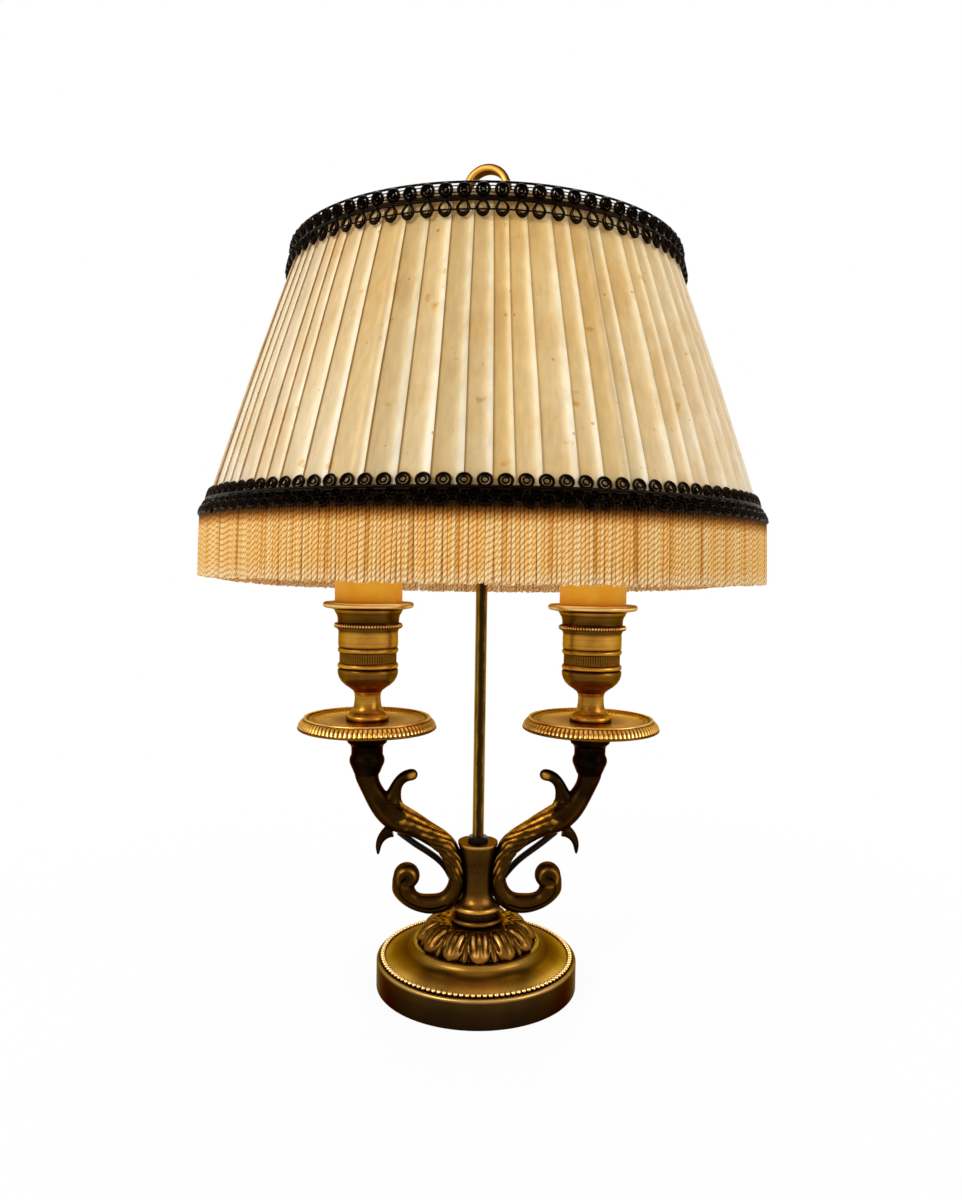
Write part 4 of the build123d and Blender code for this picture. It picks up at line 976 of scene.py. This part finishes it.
# The two sides are painted paler, as the glow of the bulbs behind them.
sideways = add("Math", [parts["X"]], operation="ABSOLUTE")
side_glow = add("MapRange", [sideways, 0.035, 0.105, 0.0, 0.62], interpolation_type="SMOOTHSTEP")
(_, stains), (_, rust), (_, spots) = (
    patches(place, scale, detail, stops)
    for scale, detail, stops in (
        (32.0, 5.0, [(0.5, "#ffffff"), (0.62, "#f3e2c0"), (0.74, "#ffffff")]),
        (150.0, 3.0, [(0.67, "#ffffff"), (0.71, "#f6dc9e"), (0.77, "#e6b45a")]),
        (340.0, 1.0, [(0.74, "#ffffff"), (0.79, "#dfb060")]),
    )
)
# The line along each rib is the wire's mark in the cloth with its painted shadow.
angle = add("Math", [parts["Y"], parts["X"]], operation="ARCTAN2")
rib_turns = add(
    "Math",
    [angle, frame_ribs / (2 * pi), -frame_ribs * first_rib / (2 * pi)],
    operation="MULTIPLY_ADD",
)
rib_wave = add("Math", [rib_turns, 0.5], operation="PINGPONG")
rib_shadow_and_mark = add("MapRange", [rib_wave, 0.0, 0.024, 0.5, 0.0], interpolation_type="SMOOTHSTEP")
colour = layers
for blend, share, over in (
    ("MULTIPLY", 0.8, tones), ("MULTIPLY", 1.0, fade), ("MIX", side_glow, linear("#fff8e2")),
    ("MULTIPLY", 0.6, stains), ("MULTIPLY", 0.7, rust), ("MULTIPLY", 0.8, spots),
    ("MIX", rib_shadow_and_mark, linear("#c39a5c")),
):
    colour = add("Mix", {0: share, 6: colour, 7: over}, data_type="RGBA", blend_type=blend)
upright, crossways = (
    add("VectorMath", [place, (1.0, 1.0, squeeze)], operation="MULTIPLY")
    for squeeze in (0.06, 7.0)
)
streak = add("TexNoise", {"Vector": upright, "Scale": 420.0, "Detail": 3.0})
streaks = add("MapRange", [streak, 0.35, 0.65, 0.9, 1.03])
colour = add("VectorMath", [colour, streaks], operation="MULTIPLY")
weave = add("TexNoise", {"Vector": crossways, "Scale": 300.0, "Detail": 2.0})
surfaced(shader, colour, weave, 0.25, through=0.25)
cover = finished("pleated_cover", pleats, silk, "shade", 30)
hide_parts("shade_cover")
print("silk ready")

# %% [markdown]
# ## Lining
# Inside the frame hangs a plain lining of the same ivory, stitched to both rings. It is one
# smooth cone of cloth that bows in a little between the ribs.

# %% Lining
lining_finish, add, shader, place = new_finish("ivory lining", Roughness=0.8)
_, tints = patches(place, 40.0, 4.0, [(0.3, "#f0dfb8"), (0.7, "#f7ebcd")])
surfaced(shader, tints, through=0.4)
(lining_wide, lining_low), (lining_narrow, lining_high) = (110.9, 204.9), (75.6, 309.4)
lining_tall, lining_rows = lining_high - lining_low, 10
lining_shape = bmesh.new()
bmesh.ops.create_circle(lining_shape, segments=192, radius=lining_wide)
bmesh.ops.translate(lining_shape, verts=lining_shape.verts, vec=(0, 0, lining_low))
edge_loop = lining_shape.edges[:]
radii = np.linspace(lining_wide, lining_narrow, lining_rows + 1)
for radius, narrower in zip(radii, radii[1:]):
    edge_loop = raised(lining_shape, edge_loop, narrower / radius, lining_tall / lining_rows)
for spot in lining_shape.verts:
    height = (spot.co.z - lining_low) / lining_tall
    angle = np.arctan2(spot.co.y, spot.co.x)
    bow = 0.9 * sin(pi * height) * (1 - cos(frame_ribs * (angle - first_rib))) / 2
    spot.co.xy = spot.co.xy - spot.co.xy.normalized() * bow
bmesh.ops.recalc_face_normals(lining_shape, faces=lining_shape.faces)
lining_area = sum(face.calc_area() for face in lining_shape.faces) * mm * mm
lining = finished("shade_lining_cloth", lining_shape, lining_finish, "shade")
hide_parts("shade_lining")
print("lining area", round(lining_area, 4), "m2")

# %% [markdown]
# ## Gimp braid
# Gimp is a flat braid of glossy silk-covered cord, laid in loops. Each loop is a short ring of
# cord, and thin rings of thread run right round. The bottom braid lies on the leaning cover and
# the top one stands nearly upright, so each loop is set with its own three directions: round the
# shade, up its slope, and outwards.

# %% Gimp helpers and finish
cone_slope = (foot_radius - head_radius) / (shade_head - shade_foot)
cone_lean = np.arctan(cone_slope)


def placed(angle, height, radius, lean):
    """The place of a loop round the shade: X round it, Y up the lean, Z outwards."""
    out = Vector((cos(angle), sin(angle), 0))
    upslope = Vector((-sin(lean) * out.x, -sin(lean) * out.y, cos(lean)))
    facing = Vector((cos(lean) * out.x, cos(lean) * out.y, sin(lean)))
    turn = Matrix((upslope.cross(facing), upslope, facing)).transposed().to_4x4()
    return Matrix.Translation(out * radius + Vector((0, 0, height))) @ turn


def cover_radius(height):
    return foot_radius - (height - shade_foot) * cone_slope


def loop_of_cord(width, height, thickness, steps=14, pinch=0.0, lift=0.0):
    """An oval loop of cord in the XY plane. A pinch narrows its upper end to a drop."""
    loop = ring_of_cord(1.0, 4 * thickness / (width + height), steps)
    for spot in loop.verts:
        squeeze = 1 - pinch * max(0.0, spot.co.y)
        spot.co = (
            spot.co.x * (width - thickness) / 2 * squeeze,
            spot.co.y * (height - thickness) / 2,
            spot.co.z * (width + height) / 4 + lift,
        )
    return loop


def row_of_loops(
    loop, count, level, radius, lean, upward, turning, along=(0, 0, 0, 0), start=0, follow=0
):
    """A row of loops round the shade. Each strays up the row, about its own middle and along the
    row, by a size, a rate and two seeds each, because loops laid by hand never line up. A row
    that follows the cone moves in where it strays up."""

    def drift(i, size, rate, *seeds):
        return size * stray(i * rate, *seeds)

    return repeated(loop, [
        placed(
            (i + start + drift(i, *along)) * 2 * pi / count, level + drift(i, *upward),
            radius - follow * drift(i, *upward) * cone_slope, lean,
        )
        @ Matrix.Rotation(drift(i, *turning), 4, "Z")
        for i in range(count)
    ])


gimp, add, shader, place = new_finish(
    "rayon gimp cord", Roughness=0.36, Specular_IOR_Level=0.18, Specular_Tint=linear("#c08a52")
)
_, tints = patches(place, 260.0, 3.0, [(0.35, "#010000"), (0.66, "#040201"), (0.82, "#1c1007")])
wraps = add("TexNoise", {"Vector": place, "Scale": 2600.0, "Detail": 1.0})
surfaced(shader, tints, wraps, 0.35)
print("cone leans", round(float(np.degrees(cone_lean)), 1), "degrees")

# %% [markdown]
# The top braid has a row of tight rosettes and a row of open drops that hang from it, joined by
# thin threads.

# %% Top braid
top_loops = 80
rosette = joined(
    loop_of_cord(6.0, 6.0, 1.8, 16), loop_of_cord(3.5, 3.6, 1.7, 12, lift=0.3),
    loop_of_cord(1.7, 1.7, 1.5, 6, lift=0.5),
)
rosettes = row_of_loops(
    rosette, top_loops, 312.6, 82.3, radians(2), (0.25, 0.7, 3, 0), (0.5, 0.9, 7, 0)
)
drop = joined(
    loop_of_cord(5.6, 7.2, 1.35, 18, pinch=0.4),
    loop_of_cord(3.7, 5.4, 0.6, 14, pinch=0.3, lift=0.6),
)
drops = row_of_loops(
    drop, top_loops, 306.1, 83.6, radians(14), (0.35, 1.1, 5, 0), (0.4, 0.8, 11, 0),
    along=(0.12, 1.3, 1, 0),
)
threads = [
    ring_of_cord(radius, thick, 160, height)
    for radius, height, thick in (
        (81.8, 315.4, 0.9), (82.1, 310.0, 1.1), (82.4, 309.2, 0.9), (83.9, 305.4, 0.6),
        (81.6, 314.2, 0.45), (81.6, 313.1, 0.45), (81.6, 312.0, 0.45), (81.7, 310.9, 0.45),
    )
]
top_gimp = finished(
    "top_gimp", joined(rosettes, drops, *threads), gimp, "shade", 80
)
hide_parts("top_braid")

# %% [markdown]
# The bottom braid has open rosettes above and two dense rows below, over the head of the fringe. A
# tape behind them closes the gaps.

# %% Bottom braid
bottom_loops = 112
open_rosette = joined(loop_of_cord(5.8, 5.6, 1.4, 16), loop_of_cord(3.2, 3.1, 1.0, 10, lift=0.3))
upper_row = row_of_loops(
    open_rosette, bottom_loops, 211.0, cover_radius(211.0) + 0.8, cone_lean, (0.3, 0.6, 5, 0),
    (0.6, 0.9, 2, 0), follow=1,
)
lower_rows = [
    row_of_loops(
        joined(loop_of_cord(6.4, 4.6, 1.7, 14), loop_of_cord(3.3, 2.3, 1.2, 8, lift=0.4)),
        bottom_loops, level, cover_radius(level) + out, cone_lean, (0.5, 0.7, 8, offset),
        (1.6, 1.3, 4, offset), along=(0.16, 1.7, offset, 0), start=offset,
    )
    for level, offset, out in ((206.6, 0.5, 1.0), (204.6, 0.02, 1.5))
]
threads = [
    ring_of_cord(radius, thick, 224, height)
    for radius, height, thick in ((115.5, 208.9, 1.2), (115.9, 208.0, 1.1), (116.9, 205.6, 0.9))
]
tape = turned([
    (114.4, 209.0, 0), (115.2, 205.2, 0), (116.0, 203.2, 0), (116.5, 203.2, 0), (115.9, 205.4, 0),
    (114.9, 209.2, 0),
], 200)
bottom_gimp = finished(
    "bottom_gimp", joined(upper_row, *lower_rows, tape, *threads), gimp, "shade", 80
)
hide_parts("bottom_braid")

# %% [markdown]
# ## Fringe
# The fringe is a dense curtain of fine twisted cords, 1.4 mm wide and side by side, that hang from
# under the bottom braid in two staggered layers, so no light shows between them. They hang lower
# round the back. One cord is a grid rolled into a tube, so it keeps a map that runs along it and
# round it, and the twist is drawn on that map. Every copy gets its own length, lean and shade,
# because cut cords never hang the same.

# %% Fringe cords
cord_count, cord_width, fringe_head, fringe_foot, back_drop = 1130, 1.42, 204.4, 178.8, 9.3
sides_of_cord, rows_of_cord = 7, 4
strand = bmesh.new()
strand.loops.layers.uv.new("UVMap")
bmesh.ops.create_grid(
    strand, x_segments=sides_of_cord, y_segments=rows_of_cord, size=0.5, calc_uvs=True
)
for spot in strand.verts:
    turn, down = (spot.co.x + 0.5) * 2 * pi, spot.co.y + 0.5
    plump = 0.9 + 0.16 * sin(pi * down)
    spot.co = (sin(turn) * plump * cord_width / 2, -cos(turn) * plump * cord_width / 2, -down)
bmesh.ops.remove_doubles(strand, verts=strand.verts, dist=1e-4)
bmesh.ops.holes_fill(strand, edges=strand.edges)
bmesh.ops.recalc_face_normals(strand, faces=strand.faces)
places, shades = [], []
for i in range(cord_count):
    angle = 2 * pi * (i + chance.uniform(-0.2, 0.2)) / cord_count
    low = fringe_foot - back_drop * max(0.0, sin(angle)) ** 0.8 - chance.uniform(-0.5, 0.4)
    out = 116.9 + (0.5 if i % 2 else -0.5) + chance.uniform(-0.12, 0.12)
    lean = chance.normal(0, 0.008)
    places.append(
        Matrix.Translation((out * cos(angle), out * sin(angle), fringe_head))
        @ Matrix.Rotation(angle, 4, "Z") @ Matrix.Rotation(lean, 4, "X")
        @ Matrix.Rotation(radians(-1.6), 4, "Y") @ Matrix.Rotation(chance.uniform(0, 6.28), 4, "Z")
        @ Matrix.Diagonal((1, 1, fringe_head - low, 1))
    )
    # Every eleventh cord is painted dark, as the shade in the gaps between clumps of cords.
    shades.append(chance.uniform(0.0, 0.2) if i % 11 == 0 else chance.uniform(0.35, 1))
per_cord = len(strand.verts)
cords = repeated(strand, places)
shade_layer = cords.verts.layers.float.new("shade")
for i, spot in enumerate(cords.verts):
    spot[shade_layer] = shades[i // per_cord]

# %% [markdown]
# The heads of the cords are darker for 3 to 4 mm under the braid, and their cut ends are paler,
# where the plies open. The twist is drawn with a pitch of 2 mm, nearly twice the real one, because
# a finer one wouldn't show, and each cord's twist starts elsewhere. Its grooves are painted darker,
# as the shade between the plies.

# %% Fringe finish
twists_along, plies_round, own_start = 13.0, 2.0, 37.0
cord_sheen = linear("#c8924e")
fringe_finish, add, shader, place = new_finish(
    "twisted cord fringe", Roughness=0.75, Sheen_Weight=0.2, Sheen_Tint=cord_sheen,
    Specular_Tint=cord_sheen,
)
own = add("Attribute", attribute_name="shade").outputs["Fac"]
colour = add(
    "ValToRGB", [own], [(0.0, "#cf9340"), (0.2, "#fcc468"), (0.6, "#ffd180"), (1.0, "#ffe4a2")]
)
height = add("SeparateXYZ", [place]).outputs["Z"]
# The heads are darker for 3 to 4 mm under the braid.
down = add("MapRange", [height, 0.1975, 0.2036])
darker_heads = add(
    "ValToRGB", [down],
    [(0.0, "#ffffff"), (0.3, "#dcc09a"), (0.62, "#7d5c34"), (0.85, "#2a190a"), (1.0, "#080402")],
)
on_cord = add("SeparateXYZ", {"Vector": place.node.outputs["UV"]}).outputs
twist = add("Math", [own, own_start], operation="MULTIPLY")
for way, turns in (("X", plies_round), ("Y", twists_along)):
    twist = add("Math", [on_cord[way], turns, twist], operation="MULTIPLY_ADD")
ply = add("Math", [twist, 0.5], operation="PINGPONG")
# The grooves of the twist are painted darker, as the shade between the plies.
groove = add("ValToRGB", [ply], [(0.0, "#b5823f"), (0.24, "#ffffff")])
ends = add("MapRange", [on_cord["Y"], 0.8, 0.95, 0.0, 0.45])
for blend, share, over in (("MULTIPLY", 1.0, darker_heads), ("MIX", ends, linear("#ffefc6"))):
    colour = add("Mix", {0: share, 6: colour, 7: over}, data_type="RGBA", blend_type=blend)
colour = add("VectorMath", [colour, groove], operation="MULTIPLY")
surfaced(shader, colour, ply, 0.6, 0.0006, 0.2)
fringe = finished("fringe_cords", cords, fringe_finish, "shade", 60)
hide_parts("fringe")
print("fringe cords:", cord_count)

# %% [markdown]
# ## Floor and light
# The lamp stands on a plain pale floor under soft studio light. The floor and the world show
# white to the camera, to metal and to glass, but light the lamp at a plain level. A large soft
# light stands at the left, a weaker one at the right, and one over the back.

# %% Studio
def seen_white(tree):
    """1 for the rays of the camera, of metal and of glass, 0 for those that light the lamp."""
    rays = add_node(tree, "LightPath").outputs
    seen = rays["Is Camera Ray"]
    for kind in ("Is Glossy Ray", "Is Transmission Ray"):
        seen = add_node(tree, "Math", [seen, rays[kind]], operation="MAXIMUM")
    return seen


floor_shape = bmesh.new()
bmesh.ops.create_grid(floor_shape, x_segments=1, y_segments=1, size=6.0)
floor_mesh = bpy.data.meshes.new("floor")
floor_shape.to_mesh(floor_mesh)
floor_shape.free()
floor = in_scene("floor", floor_mesh)
floor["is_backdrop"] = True
paper, add, shader, place = new_finish("pale paper", Roughness=0.9, Base_Color=linear("#f4f3f1"))
white = add("Emission", {"Color": (1, 1, 1, 1), "Strength": 1.0})
away = add("VectorMath", [place], operation="LENGTH")
whiteness = add("MapRange", [away, 0.06, 0.35, 0.93])
tree = paper.node_tree
part_white = add("Math", [seen_white(tree), whiteness], operation="MULTIPLY")
surface = add("MixShader", [part_white, shader, white])
set_inputs(tree.nodes["Material Output"], [surface])
floor_mesh.materials.append(paper)

world = bpy.data.worlds.new("studio")
bpy.context.scene.world = world
world.use_nodes = True
tree = world.node_tree
strength = add_node(tree, "MapRange", [seen_white(tree), 0.0, 1.0, 0.55])
set_inputs(tree.nodes["Background"], [(1, 1, 1, 1), strength])

lamps = [
    ("left softbox", (-0.75, -0.7, 0.75), 0.5, 7.0),
    ("right softbox", (0.8, -0.5, 0.5), 0.5, 3.0),
    ("back light", (0.1, 0.9, 0.9), 0.6, 4.0),
]
lamp_middle = Vector((0, 0, 0.2))
for name, spot, size, power in lamps:
    lamp_data = bpy.data.lights.new(name, "AREA")
    lamp_data.size = size
    lamp_data.energy = power
    aim = (lamp_middle - Vector(spot)).to_track_quat("-Z", "Y").to_matrix().to_4x4()
    in_scene(name, lamp_data).matrix_world = Matrix.Translation(spot) @ aim
bpy.context.scene.view_settings.view_transform = "Standard"
print("lights:", len(lamps))

# %% [markdown]
# ## Finish
# The boxes before and after are kept to compare sizes.

# %% Finish
scene_box = [list(corner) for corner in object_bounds()]
for before, after in zip(cad_box, scene_box):
    print("corner moved by", [round((b - a) * 1000, 2) for a, b in zip(before, after)], "mm")
